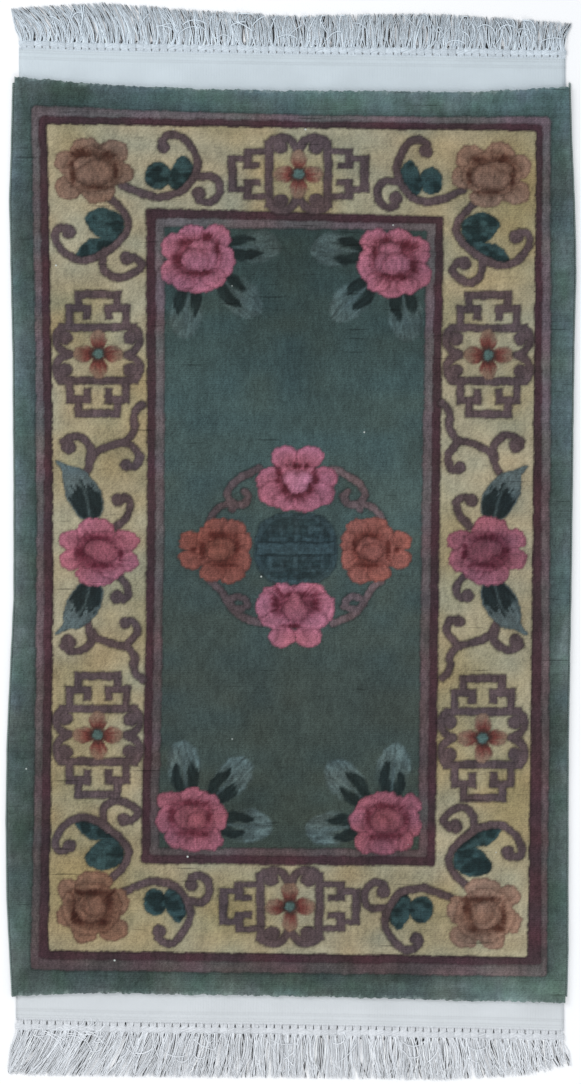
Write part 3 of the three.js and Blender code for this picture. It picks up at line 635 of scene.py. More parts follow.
def field_leaf(x, y, turn, clear):
    """A leaf of the field flowers: two dark lobes beside a pale midrib, fading into a pale tip."""
    long, wide = FIELD_LEAF["long"], FIELD_LEAF["wide"]
    at = around(x, y, long + 12)
    lx, ly = local(at, x, y, turn=turn)
    seed = int(abs(x) + abs(y))
    share = lx / long
    span = wide * np.power(np.clip(4 * share * (1.02 - share), 0, 1), 0.55)
    distance = np.maximum(np.abs(ly) - span, np.abs(share - 0.5) * long - long / 2)
    distance += 2.2 * noise(lx, ly, 9, 9, seed)
    streaks = noise(lx, ly, 16, 3.2, seed + 1)
    tip = ramp(share + 0.12 * streaks, 0.2, 0.6)
    pale = toned(FIELD_LEAF["pale"], 0.24 * streaks)
    tint = mix(TINT[at], pale, np.clip((0.3 + 0.7 * tip) * clear, 0, 1))
    lay(at, distance, tint, 0.9, shoulder=7, cut=0.4, edge=0.04, soft=6)
    ragged = 0.16 * streaks + 0.1 * noise(lx, ly, 14, 2.2, seed + 2)
    for side in (-1, 1):
        reach = 0.56 + 0.09 * side * math.sin(seed)
        middle = 3.5 + 10 * ramp(share, -0.1, 0.3) - 2 * ramp(share, 0.3, 0.7)
        plump = 11.5 * (1 - 0.5 * ramp(share, 0.15, reach + 0.1))
        lobe = np.hypot((side * ly - middle) / plump, np.maximum(share - reach + 0.2, 0) / 0.22)
        dark = ramp(1.1 - lobe + 1.6 * ragged * ramp(share, 0, 0.4), 0, 0.45) * (share > -0.09)
        TINT[at] = mix(TINT[at], FIELD_LEAF["dark"], np.clip(0.9 + ragged, 0, 1) * dark)
        RISE[at] += 0.7 * dark
    ribbed = bell(ly, 2.4) * ramp(0.8 - share, 0, 0.2) * ramp(share, 0.02, 0.12)
    TINT[at] = mix(TINT[at], FIELD_LEAF["rib"], 0.8 * ribbed)
    RISE[at] -= 0.7 * ribbed


def reaching(points, far):
    """A corner's shape with the part beyond its flower made shorter."""
    return [(min(px, 60) + max(px - 60, 0) * far, *rest) for px, *rest in points]


def teal_leaves(x, y, sx, sy, far):
    for outline in CORNER_LEAVES:
        outline = reaching(outline, far)
        px, py = np.mean(outline, 0)
        at = around(x + sx * px, y + sy * py, 42)
        lx, ly = local(at, x, y, sx, sy)
        distance = to_loop(lx, ly, smooth_ring(outline)) + 0.8 * noise(lx, ly, 5, 5, 65)
        dark = ramp(noise(lx, ly, 13, 8, int(x + 2 * px) % 97) + 0.5 * ramp(-distance, 0, 12), -0.1, 0.8)
        tint = toned(mix(TEAL, TEAL_DEEP, dark), 0.14 * noise(lx, ly, 14, 3, 67))
        lay(at, distance, tint, LEAF_RISE, shoulder=6, cut=1, edge=0.14)


def network(lines, spots, wide, tint=LINE, rise=LINE_RISE):
    """Joined strokes and round ends, carved as one shape."""
    runs = [smooth_line(line) for line in lines]
    points = np.vstack(runs)
    low, high = points.min(0), points.max(0)
    at = around(*((low + high) / 2), max(high - low) / 2 + wide)
    x, y = WAVER_X[at], WAVER_Y[at]
    distance = np.min([
        *(to_line(x, y, run) - wide / 2 for run in runs),
        *(np.hypot(x - px, y - py) - radius for px, py, radius in spots),
    ], 0) + 0.8 * noise(x, y, 9, 9, 70)
    streaks = 0.1 * noise(x, y, 3, 12, 68) + 0.09 * noise(x, y, 22, 22, 77)
    lay(at, distance, toned(tint, streaks), rise)


def placed(points, x, y, sx, sy, grow=1):
    return [(x + sx * px, y + sy * py * grow, *rest) for px, py, *rest in points]


def fret(x, y, upright, grow, squeeze):
    """An angular fret with four balls and a small cross-shaped flower."""
    at = around(x, y, 122)
    lx, ly = local(at, x, y)
    along, across = (ly, lx) if upright else (lx, ly)
    along, across = np.abs(along) / grow, np.interp(np.abs(across), squeeze[1], squeeze[0])
    ball_along, ball_across, radius = FRET_BALL
    distance = np.min([
        *(to_bar(along, across, bar, LINE_WIDE / 2) for bar in FRET_BARS),
        to_line(along, across, smooth_line(FRET_CURL)) - LINE_WIDE / 2,
        np.hypot(along - ball_along, across - ball_across) - radius,
    ], 0) + 0.7 * noise(lx, ly, 9, 9, 70)
    streaks = 0.1 * noise(lx, ly, 3, 12, 69) + 0.08 * noise(lx, ly, 16, 16, 77)
    lay(at, distance, toned(LINE, streaks), LINE_RISE)
    radial = np.hypot(lx, ly)
    streak = noise(lx / np.maximum(radial, 1) * 7, ly / np.maximum(radial, 1) * 7, 1, 1, int(abs(x)))
    petal_tint = mix(FRET_PETAL["root"], FRET_PETAL["tint"], ramp(radial + 6 * streak, 12, 34))
    for near, far in ((np.abs(lx), ly), (np.abs(ly), lx)):
        distance = to_ellipse(near - FRET_PETAL["out"], far, FRET_PETAL["long"], FRET_PETAL["wide"])
        lay(at, distance + 1.2 * streak, petal_tint, 1.2, shoulder=5, cut=0.8, edge=0.08, soft=3.5)
    lay(at, radial - 13 + 2.5 * streak, FRET_PETAL["hollow"], 0.6, cut=0.6, edge=0.1, soft=6)
    lay(at, radial - 8.5 + streak, FRET_PETAL["heart"], 1.6, edge=0.2, soft=3.4)


def roundel():
    """A round fret in the medallion's middle, worked in a darker green."""
    at = around(*MEDALLION, 80)
    lx, ly = local(at, *MEDALLION)
    squarish = (np.abs(lx / ROUNDEL["across"]) ** 2.8 + np.abs(ly / ROUNDEL["along"]) ** 2.8) ** (1 / 2.8)
    disc = (squarish - 1) * ROUNDEL["along"] + 1.2 * noise(lx, ly, 9, 9, 71)
    mottle = 0.16 * noise(lx, ly, 9, 4, 72) + 0.1 * noise(lx, ly, 4, 14, 73)
    lay(at, disc, toned(ROUNDEL_DEEP, mottle), 0.2, cut=0.5, edge=0.05, soft=5)
    shape = np.abs(disc + ROUNDEL["rim"] / 2) - ROUNDEL["rim"] / 2
    for bar in ROUNDEL_BARS:
        shape = np.minimum(shape, to_bar(np.abs(lx), np.abs(ly), bar, ROUNDEL["bar_wide"] / 2))
    tint = toned(ROUNDEL_TINT, mottle)
    lay(at, shape, tint, 0.9, shoulder=3, cut=0.6, edge=0.1, soft=3)
    lay(at, to_bar(lx, ly, (-52, 52, 0, 0), 10), 1.08 * tint, 1.2, cut=1, edge=0.24, soft=3)


def paint_bands():
    """Dyes and carves the ground of the pile: outer band, guard lines, cream border and field, with painted
    light and shade on the outer band.
    """
    outer_edge, outer_split, border_edge = [to_guard(*edge) for edge in GUARDS["outer"]]
    inner_edge, inner_split, field_edge = [to_guard(*edge) for edge in GUARDS["inner"]]
    # Painted highlight on the outermost pile, where its rounded edge catches the light, and painted shade on
    # the band beside the outer guard
    edge_light_shade_and_wear = 0.13 * ramp(16 - RIM, 0, 16) - 0.12 * ramp(22 - outer_edge, 0, 22)
    uneven = 0.05 * noise(X, Y, 130, 130, 6) + 0.06 * noise(X, Y, 30, 6, 19) + 0.05 * noise(X, Y, 9, 30, 20)
    # Painted light: a lighter stretch of the outer band along the lower end, right of the middle, where the
    # nap catches more light
    uneven += 0.3 * ramp(noise(X, Y, 60, 24, 74), -0.1, 0.7) * ramp(-Y, 695, 745) * ramp(X, -250, 50)
    # Hue that wanders; its rim term adds to the painted highlight on the outermost pile, lighter and bluer
    drift = 0.8 * noise(X, Y, 34, 52, 78) + 0.5 * noise(X, Y, 12, 16, 79) + 0.5 * ramp(20 - RIM, 0, 20)
    TINT[:] = toned(by_place(BAND), edge_light_shade_and_wear + uneven) * (1 + drift[..., None] * (0.08, 0.03, 0.08))
    uneven = 0.07 * noise(X, Y, 30, 11, 9) + 0.05 * noise(X, Y, 5, 40, 10)
    hue = 1 + noise(X, Y, 40, 40, 75)[..., None] * (0.06, -0.03, 0.01)
    mauve = toned(mix(MAUVE_LOW, MAUVE, ramp(Y, -650, 500)), uneven) * hue
    plum = toned(PLUM, uneven) * hue
    lay(EVERYWHERE, outer_edge, mauve, BAND_RISE)
    lay(EVERYWHERE, outer_split, plum, BAND_RISE, cut=0.4, edge=0.12)
    yellowed = 0.75 * ramp(noise(X, Y, 120, 120, 7) + 0.3 * noise(X, Y, 30, 30, 8), -0.5, 1)
    for place in SALLOW:
        yellowed = np.maximum(yellowed, 1.1 * patch(*place))
    hue = 1 + noise(X, Y, 45, 26, 18)[..., None] * (0.025, 0.005, -0.01)
    cream = mix(CREAM, CREAM_DEEP, yellowed) * hue
    # The strong edge values here paint deep shade along the cream border's edges
    lay(EVERYWHERE, border_edge, cream, 0, edge=0.32)
    lay(EVERYWHERE, inner_edge, plum, BAND_RISE, edge=0.26)
    lay(EVERYWHERE, inner_split, mauve, BAND_RISE, cut=0.4, edge=0.12)
    lay(EVERYWHERE, field_edge, by_place(FIELD), 0)
    return border_edge, inner_edge


def paint_scrolls():
    """The scrolls and leaves of the cream border."""
    for x, y, sx, sy, hook, far in CORNERS:
        teal_leaves(x, y, sx, sy, far)
        hooked = [(HOOK_X + (px - HOOK_X) * hook, py, *r) for px, py, *r in CORNER_HOOK]
        balls = placed([*reaching(CORNER_BALLS, far), hooked.pop()], x, y, sx, sy)
        lines = [hooked, *(reaching(line, far) for line in CORNER_SCROLLS)]
        network([placed(line, x, y, sx, sy) for line in lines], balls, LINE_WIDE)
    for x, y, sx, sy, grow, leaf_grow, wide, long, tuck in SPRAYS:
        hook = [(SIDE_X + (px - SIDE_X) * wide, SIDE_Y + (py - SIDE_Y) * long, *r)
                for px, py, *r in SIDE_HOOK]
        curl = [(px * (1 + wide) / 2, py, *r) for px, py, *r in SIDE_CURL]
        curl[-2:] = [(px - tuck, py - 0.6 * tuck, *r) for px, py, *r in curl[-2:]]
        balls = placed([SIDE_BALL, hook.pop(), curl.pop()], x, y, sx, sy, grow)
        network([placed(line, x, y, sx, sy, grow) for line in (*SIDE_STEMS, hook, curl)], balls, LINE_WIDE)
        leaf(x, y, sx, sy, leaf_grow, **SIDE_LEAF)


def paint_pile():
    """Dyes and carves the whole pile, from the plain ground up to the flowers."""
    border_edge, inner_edge = paint_bands()
    paint_scrolls()
    for row in FRETS:
        fret(*row)
    for x, y, clear, rows in FIELD_LEAVES:
        for dx, dy, turn in rows:
            field_leaf(x + dx, y + dy, turn, clear)
    for sx in (-1, 1):
        vines = [placed(line, *MEDALLION, sx, 1) for line in VINES]
        network(vines, [], VINE_WIDE, np.array(VINE) * (1 + 0.06 * sx), 1.2)
    roundel()
    for row in STANDS:
        flower(*row)
    return border_edge, inner_edge


def weather():
    """Mottling, painted light and shade where the nap lies differently, and small unevenness of the whole
    pile.
    """
    mottle = 0.05 * noise(X, Y, 70, 70, 11) + 0.05 * noise(X, Y, 24, 24, 12) + 0.05 * noise(X, Y, 6, 18, 13)
    # Painted light and shade: the nap patches make the pile lighter or darker where its nap would catch more
    # or less light
    for *place, much in PAINTED_NAP_SHADING:
        mottle += much * patch(*place)
    grain = 0.08 * np.random.default_rng(14).uniform(-1, 1, X.shape)
    hue = noise(X, Y, 50, 32, 76)[..., None] * (-0.035, 0, 0.03)
    TINT[:] *= (1 + mottle + grain)[..., None] + hue
    to_end = np.minimum(Y - LOW_Y, HIGH_Y - Y)
    frayed = noise(X, Y, 2.6, 900, 80) + 0.6 * noise(X, Y, 11, 900, 81) + 0.9 - to_end / 4
    TINT[:] = mix(TINT, FRAYED, 0.5 * ramp(frayed, 0.1, 1.2))
    RISE[:] += 0.35 * noise(X, Y, 45, 45, 15) + 0.22 * noise(X, Y, 8, 8, 16)
    RISE[:] += 0.14 * np.random.default_rng(17).uniform(-1, 1, X.shape)


def linear(tint):
    """Daylight colours from 0 to 255 as Blender's linear ones."""
    share = np.clip(np.asarray(tint, float) / 255, 0, 1)
    return np.where(share <= 0.04045, share / 12.92, ((share + 0.055) / 1.055) ** 2.4)


def grid_faces(rows, columns):
    corner = (np.arange(rows - 1)[:, None] * columns + np.arange(columns - 1)).ravel()
    return np.stack([corner, corner + 1, corner + columns + 1, corner + columns], 1)


def rim_of(rows, columns):
    """The outer grid points in order, anticlockwise from the lower left one."""
    index = np.arange(rows * columns).reshape(rows, columns)
    return np.concatenate([index[0, :-1], index[:-1, -1], index[-1, :0:-1], index[:0:-1, 0]])


def wall(first, second):
    """Faces between two rings of points."""
    return np.stack([first, second, np.roll(second, -1), np.roll(first, -1)], 1)


def unit(vectors):
    return vectors / np.maximum(np.linalg.norm(vectors, axis=-1, keepdims=True), 1e-9)


def around_tube(sides):
    """Angles of the points round a tube."""
    return 2 * math.pi * (np.arange(sides) + 0.5) / sides


def tube_faces(count, steps, sides):
    tube, step, side = np.meshgrid(np.arange(count), np.arange(steps - 1), np.arange(sides), indexing="ij")
    near = (tube * steps + step) * sides
    other = (side + 1) % sides
    faces = [near + sides + side, near + sides + other, near + other, near + side]
    return np.stack(faces, -1).reshape(-1, 4)


def stand(name, data, place):
    thing = bpy.data.objects.new(name, data)
    bpy.context.scene.collection.objects.link(thing)
    thing.location = place
    return thing


def add_piece(name, points, faces, material, tint, normals=None):
    """A piece of the rug from points in millimetres. Points that no face uses are left out."""
    used, packed = np.unique(faces, return_inverse=True)
    mesh = bpy.data.meshes.new(name)
    mesh.from_pydata(points[used] * MM + SHIFT, [], packed.reshape(faces.shape))
    mesh.update(calc_edges=True)
    mesh.shade_smooth()
    dye = mesh.color_attributes.new("dye", "FLOAT_COLOR", "POINT")
    dye.data.foreach_set("color", np.insert(linear(tint[used]), 3, 1, 1).astype(np.float32).ravel())
    if normals is not None:
        mesh.normals_split_custom_set_from_vertices(normals[used])
    mesh.materials.append(material)
    piece = stand(name, mesh, (0, 0, 0))
    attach(piece, "root")
    return piece


def tubes(paths, radii, sides, flatten):
    """Points of many tubes at once, along rows of points, with a radius at each point."""
    along = unit(np.gradient(paths, axis=1))
    across = unit(np.cross(along, (0, 0, 1)))
    up = np.cross(across, along)
    angle = around_tube(sides)[:, None]
    ring = across[:, :, None] * np.cos(angle) + up[:, :, None] * np.sin(angle) * flatten
    return (paths[:, :, None] + radii[:, :, None, None] * ring).reshape(-1, 3)


class Shader:
    """A material built from nodes, ending in one surface shader."""

    def __init__(self, name, roughness, sheen=0.1):
        self.material = bpy.data.materials.new(name)
        self.material.use_nodes = True
        self.tree = self.material.node_tree
        self.surface = self.tree.nodes["Principled BSDF"]
        self.surface.inputs["Roughness"].default_value = roughness
        self.surface.inputs["Specular IOR Level"].default_value = 0.15
        self.surface.inputs["Sheen Weight"].default_value = sheen
        self.surface.inputs["Sheen Roughness"].default_value = 0.5
        self.place = self.node("TexCoord", {}, "Object")

    def node(self, kind, sockets, output=0, **settings):
        """One output of a new node whose sockets are linked or set."""
        made = self.tree.nodes.new("ShaderNode" + kind)
        for key, value in settings.items():
            setattr(made, key, value)
        for key, value in sockets.items():
            if isinstance(value, bpy.types.NodeSocket):
                self.tree.links.new(value, made.inputs[key])
            else:
                made.inputs[key].default_value = value
        return made.outputs[output]

    def dye(self):
        return self.node("Attribute", {}, "Color", attribute_name="dye")

    def grain(self, scale, detail):
        """Noise with that many cells in a metre along each axis."""
        place = self.node("VectorMath", {0: self.place, 1: scale}, operation="MULTIPLY")
        sockets = {"Vector": place, "Scale": 1, "Detail": detail, "Roughness": 0.55}
        return self.node("TexNoise", sockets, "Fac")

    def rows(self, direction, scale, distortion=0.6, detail=1, detail_scale=1):
        """Parallel waves across that direction."""
        sockets = {"Vector": self.place, "Scale": scale, "Distortion": distortion, "Detail": detail,
                   "Detail Scale": detail_scale}
        return self.node("TexWave", sockets, "Fac", bands_direction=direction)

    def spread(self, value, low, high, to_low, to_high):
        return self.node("MapRange", {0: value, 1: low, 2: high, 3: to_low, 4: to_high})

    def maths(self, operation, first, *others):
        """Numbers joined one after the other."""
        for other in others:
            first = self.node("Math", {0: first, 1: other}, operation=operation)
        return first

    def shade(self, colour, amount):
        """The colour made darker or lighter by a number about 1."""
        grey = self.node("CombineXYZ", {0: amount, 1: amount, 2: amount})
        return self.node("VectorMath", {0: colour, 1: grey}, operation="MULTIPLY")

    def finish(self, colour, height, depth):
        bump = self.node("Bump", {"Height": height, "Distance": depth, "Strength": 1})
        self.tree.links.new(colour, self.surface.inputs["Base Color"])
        self.tree.links.new(bump, self.surface.inputs["Normal"])
        return self.material


def pile_wool():
    """Cut wool: dye, tufts and rows of knots with painted shade between them, painted sheen where the nap
    lies differently, partings between rows painted dark as shade, and stray lint.
    """
    s = Shader("pile_wool", 0.95)
    dye = s.dye()
    tufts, nap = s.grain((430, 430, 430), 2), s.grain((260, 60, 60), 2)
    rows = s.rows("Y", 95, 3, 2, 0.4)
    # Tone that differs from tuft to tuft, with painted shade: tufts and rows lighter where the bump stands
    # higher and darker between; the nap in streaks of painted sheen
    uneven = s.maths("ADD", s.spread(tufts, 0.3, 0.7, -0.24, 0.24), s.spread(rows, 0, 1, -0.07, 0.07),
                     s.spread(nap, 0.3, 0.7, -0.13, 0.13))
    lightness = s.node("SeparateColor", {0: dye}, 1)
    fineness = s.spread(lightness, 0.08, 0.3, 1, 0.4)
    # Painted shade: dark partings between the rows of pile
    parting = s.spread(s.grain((15, 190, 10), 0), 0.76, 0.86, 1, 0.55)
    shade = s.maths("ADD", s.maths("MULTIPLY", uneven, fineness), 1)
    colour = s.shade(dye, s.maths("MULTIPLY", shade, parting))
    specks = s.node("TexVoronoi", {"Vector": s.place, "Scale": 42}, "Distance")
    near = s.spread(specks, 0.04, 0.09, 1, 0)
    chance = s.node("SeparateColor", {0: specks.node.outputs["Color"]})
    lint = s.maths("MULTIPLY", near, s.maths("GREATER_THAN", chance, 0.955))
    colour = s.node("Mix", {0: lint, 6: colour, 7: (*linear(LINT), 1)}, 2, data_type="RGBA")
    height = s.maths("ADD", s.maths("MULTIPLY", tufts, fineness), s.maths("MULTIPLY", rows, 0.5))
    return s.finish(colour, height, 0.0011)


def woven_cotton():
    """Plain weave: fine weft ribs across the rug over fainter warps, slightly soiled."""
    s = Shader("woven_cotton", 0.88)
    weft, warp = s.rows("Y", 225), s.rows("X", 120)
    soil_and_shade = s.spread(s.grain((14, 22, 14), 3), 0.3, 0.7, 0.97, 1.03)
    shade = s.maths("MULTIPLY", soil_and_shade, s.spread(weft, 0, 1, 0.97, 1.02))
    return s.finish(s.shade(s.dye(), shade), s.maths("ADD", weft, s.maths("MULTIPLY", warp, 0.6)), 0.0003)


def yarn(name, cells, dark, light):
    """Loose or wrapped yarn whose fibres are a little darker or lighter."""
    s = Shader(name, 0.9)
    fibres = s.grain(cells, 1)
    return s.finish(s.shade(s.dye(), s.spread(fibres, 0.3, 0.7, dark, light)), fibres, 0.0003)


def build_pile(material, border_edge, field_edge):
    """Three pieces on one grid, parted along the cream border's edges. The outer one has the skirt."""
    ragged = np.clip(1 - np.minimum(Y - LOW_Y, HIGH_Y - Y) / 6, 0, 1) * np.where(ALONG > 0.5, 1, -1)
    y = Y + ragged * (noise(X, Y, 8, 900, 21) + 1.5 * noise(X, Y, 2.6, 900, 22))
    z = PILE_TOP + RISE - 3.2 * (1 - np.clip(RIM / 6, 0, 1)) ** 2.2
    points = np.stack([X, y, z], -1)
    normals = unit(np.cross(np.gradient(points, axis=1), np.gradient(points, axis=0))).reshape(-1, 3)
    points = points.reshape(-1, 3)
    rim = rim_of(*X.shape)
    away = unit(normals[rim] * (1, 1, 0))
    foot = points[rim] * (1, 1, 0)
    halfway = X.size + np.arange(len(rim))
    points = np.vstack([points, foot + 0.35 * away + (0, 0, 6), foot + (0, 0, 1.4)])
    normals = np.vstack([normals, away, away])
    tint = TINT.reshape(-1, 3)
    # Painted shade: the skirt down the pile's sides darkened towards the floor
    tint = np.vstack([tint, tint[rim] * 0.95, tint[rim] * 0.8])
    skirt = np.vstack([wall(rim, halfway), wall(halfway, halfway + len(rim))])
    faces = grid_faces(*X.shape)
    in_field = field_edge.ravel()[faces[:, 0]] < 0
    in_border = border_edge.ravel()[faces[:, 0]] < 0
    parts = {
        "pile_field": faces[in_field],
        "pile_border": faces[in_border & ~in_field],
        "pile_outer": np.vstack([faces[~(in_field | in_border)], skirt]),
    }
    return [add_piece(name, points, part, material, tint, normals) for name, part in parts.items()]





def build_ground(material):
    """The woven ground in one closed sheet: flat-woven ends and the knotted back under the pile."""
    x = np.linspace(-446, 446, 113)
    bounds = [end_y(end, x, stop) for end, stop in
              (("lower", WEAVE), ("lower", PILE), ("upper", PILE), ("upper", WEAVE))]
    # Rows of points: close together on the flat weave, wide under the pile
    shares = [np.linspace(0, 1, 34), np.linspace(0, 1, 150)[1:-1], np.linspace(0, 1, 42)]
    y = np.vstack([low * (1 - share[:, None]) + high * share[:, None]
                   for low, high, share in zip(bounds[:-1], bounds[1:], shares)])
    piled = np.repeat((False, True, False), [len(share) for share in shares])[:, None]
    left, right = [
        np.where(piled, side_x(y, side + 1) + inward * (CORD_THICK + 1.2),
                 np.where(y > 0, WEAVE_SIDES["upper"][side], WEAVE_SIDES["lower"][side]))
        for side, inward in ((0, 1), (1, -1))
    ]
    x = left + (right - left) * np.linspace(0, 1, len(x))
    to_edge = np.where(y > 0, end_y("upper", x, WEAVE) - y, y - end_y("lower", x, WEAVE))
    ribs = sum(bell(to_edge - place, 1) for place in RIBS)
    to_side = np.minimum(x - left, right - x)
    # The weave's worn edges: lowered, not coloured
    edge_light_shade_and_wear = 0.4 * np.clip(1 - to_edge / 2.5, 0, 1) + 0.9 * np.clip(1 - to_side / 3, 0, 1)
    top = GROUND_TOP - 0.15 + 0.35 * ribs + 0.18 * noise(x, y, 55, 30, 31) - edge_light_shade_and_wear
    top = np.where(piled, GROUND_TOP - 0.6, top)
    points = np.vstack([np.stack([x, y, z], -1).reshape(-1, 3) for z in (top, 0 * x)])
    rim = rim_of(*x.shape)
    upper = grid_faces(*x.shape)
    faces = np.vstack([upper, upper[:, ::-1] + x.size, wall(rim, rim + x.size)])
    row = np.clip(np.searchsorted(GRID_Y, y), 0, len(GRID_Y) - 1)
    column = np.clip(np.searchsorted(GRID_X, x), 0, len(GRID_X) - 1)
    shade = 1 + 0.012 * noise(x, y, 50, 50, 32) - 0.045 * ribs
    # Painted shade: the upper end's weave darker than the lower one's
    white = np.where((y > 0)[..., None], COTTON_LIT_AND_SHADED["upper"], COTTON_LIT_AND_SHADED["lower"]) * shade[..., None]
    back = np.where(piled[..., None], TINT[row, column] * 0.9, white)
    tint = np.vstack([white.reshape(-1, 3), back.reshape(-1, 3)])
    return add_piece("rug_ground", points, faces, material, tint)


def build_cord(name, column, inward, material):
    """Yarn wrapped round the side edge in close turns, painted darker in the valleys between them as shade.
    """
    y = np.arange(SIDES[0, 0], SIDES[-1, 0], 0.92)[:, None]
    x = side_x(y, column) + inward * CORD_THICK / 2 + 0.25 * noise(y, y, 30, 30, 41)
    angle = around_tube(8)
    turns = y / 3.4 * 2 * math.pi + angle * inward
    radius = 1.62 + 0.3 * np.abs(np.sin(turns / 2)) + 0.06 * noise(y + 0 * angle, turns, 9, 3, 42)
    radius[[0, -1]] = 0.4
    points = np.stack([x + radius * np.cos(angle), y + 0 * angle, 1.95 + radius * np.sin(angle)], -1)
    # Painted shade: darker where the wrap dips between turns
    tint = mix(CORD_VALLEY_SHADE, CORD_TINT, ramp(radius, 1.62, 1.85))
    return add_piece(name, points.reshape(-1, 3), tube_faces(1, len(y), 8), material, tint.reshape(-1, 3))


def slots(count):
    """Places of some yarns side by side, from -1 to 1."""
    return (np.arange(count)[:, None] + 0.5) / count * 2 - 1


def held_in(x, low, high):
    """Places kept between two limits without piling up on them."""
    x = np.where(x > high, high + 5 * np.tanh((x - high) / 14), x)
    return np.where(x < low, low + 5 * np.tanh((x - low) / 14), x)


def loose_yarns(end, rng, middle, pitch, start):
    """Yarns from each knot to the tip, the lowest ones painted dark as shade under the fringe: places, radii
    and how light they are.
    """
    out, left, right = OUT[end], *WEAVE_SIDES[end]
    many = FRINGE["yarns"]
    share = np.linspace(0, 1, 13)
    x0, start = np.repeat(middle, many, 0), np.repeat(start, many, 0)
    slot = np.tile(slots(many), (len(middle), 1)) + rng.uniform(-0.15, 0.15, x0.shape)
    tip = end_y(end, x0, TIP) - out * rng.gamma(1.3, 1.6, x0.shape) + out * 0.8
    lean = np.interp(x0, *np.transpose(LEANS[end])) * rng.normal(1, 0.2, x0.shape)
    lean += rng.normal(0, 3.6, x0.shape) + np.repeat(rng.normal(0, 2.6, middle.shape), many, 0)
    bow = rng.normal(0, 2.2, x0.shape) + np.repeat(rng.normal(0, 2, middle.shape), many, 0)
    turn = rng.uniform(0, 6, x0.shape)
    x = x0 + slot * pitch * (0.36 + 0.28 * ramp(share, 0.05, 0.4)) + lean * share ** CURVES[end]
    x += bow * np.sin(share * math.pi * 1.3) + share * np.sin(share * 8 + turn)
    y = start + (tip - start) * share
    soil_and_shade, darker_tips = DARK_LOW_YARNS_AND_TIPS[end]
    layer = rng.uniform(0, 1, x0.shape)
    low = layer < soil_and_shade
    z = 1 + layer * 2.4 * (1 - 0.45 * share) + 1.1 * bell(share, 0.12)
    z += 0.5 * np.sin(share * 5 + turn) * (1 - low)
    z = np.where(low, np.minimum(z, 0.9), z)
    radii = YARN_RADIUS * (1 - 0.2 * share)
    radii[-1] = 0.3
    # Painted shade: the lowest yarns are dark, standing for the shade under the fringe and in its gaps
    tone = rng.normal(1, 0.06, x0.shape) * np.where(low, 0.25, 1) * (1 - darker_tips * share**1.5)
    return held_in(x, left - 8, right + 8), y, z, radii, tone


def stray_yarns(end, rng):
    """Yarns that lie across the others, curled or slanting."""
    out, left, right = OUT[end], *WEAVE_SIDES[end]
    share = np.linspace(0, 1, 14)
    one_each = (FRINGE["strays"], 1)
    cornered, curled = np.s_[:26], np.s_[26:32]
    x0 = rng.uniform(left + 30, right - 30, one_each)
    beyond = rng.uniform(16, 46, one_each)
    if end == "lower":
        x0[cornered] = rng.uniform(-425, -330, x0[cornered].shape)
        beyond[cornered] = rng.uniform(4, 26, x0[cornered].shape)
        x0[curled] = rng.uniform(-170, -125, x0[curled].shape)
    heading = rng.uniform(-1, 1, one_each)
    if end == "lower":
        heading[cornered] = rng.uniform(1, 1.6, x0[cornered].shape)
    curl = rng.normal(0, 1.3, one_each)
    curl[curled] *= 4
    step = rng.uniform(22, 46, one_each) / 13
    angle = heading + curl * share
    x = x0 + np.cumsum(np.sin(angle) * step, 1)
    y = end_y(end, x0, WEAVE) + out * beyond + out * np.cumsum(np.cos(angle) * step, 1)
    farthest = end_y(end, x, TIP) - out * 2
    y = np.minimum(y, farthest) if out > 0 else np.maximum(y, farthest)
    z = 3.9 + 0.5 * np.sin(share * 7 + heading * 9)
    radii = np.array([0.3, *[YARN_RADIUS] * 12, 0.3])
    return held_in(x, left - 8, right + 8), y, z, radii, rng.normal(1.03, 0.03, one_each)


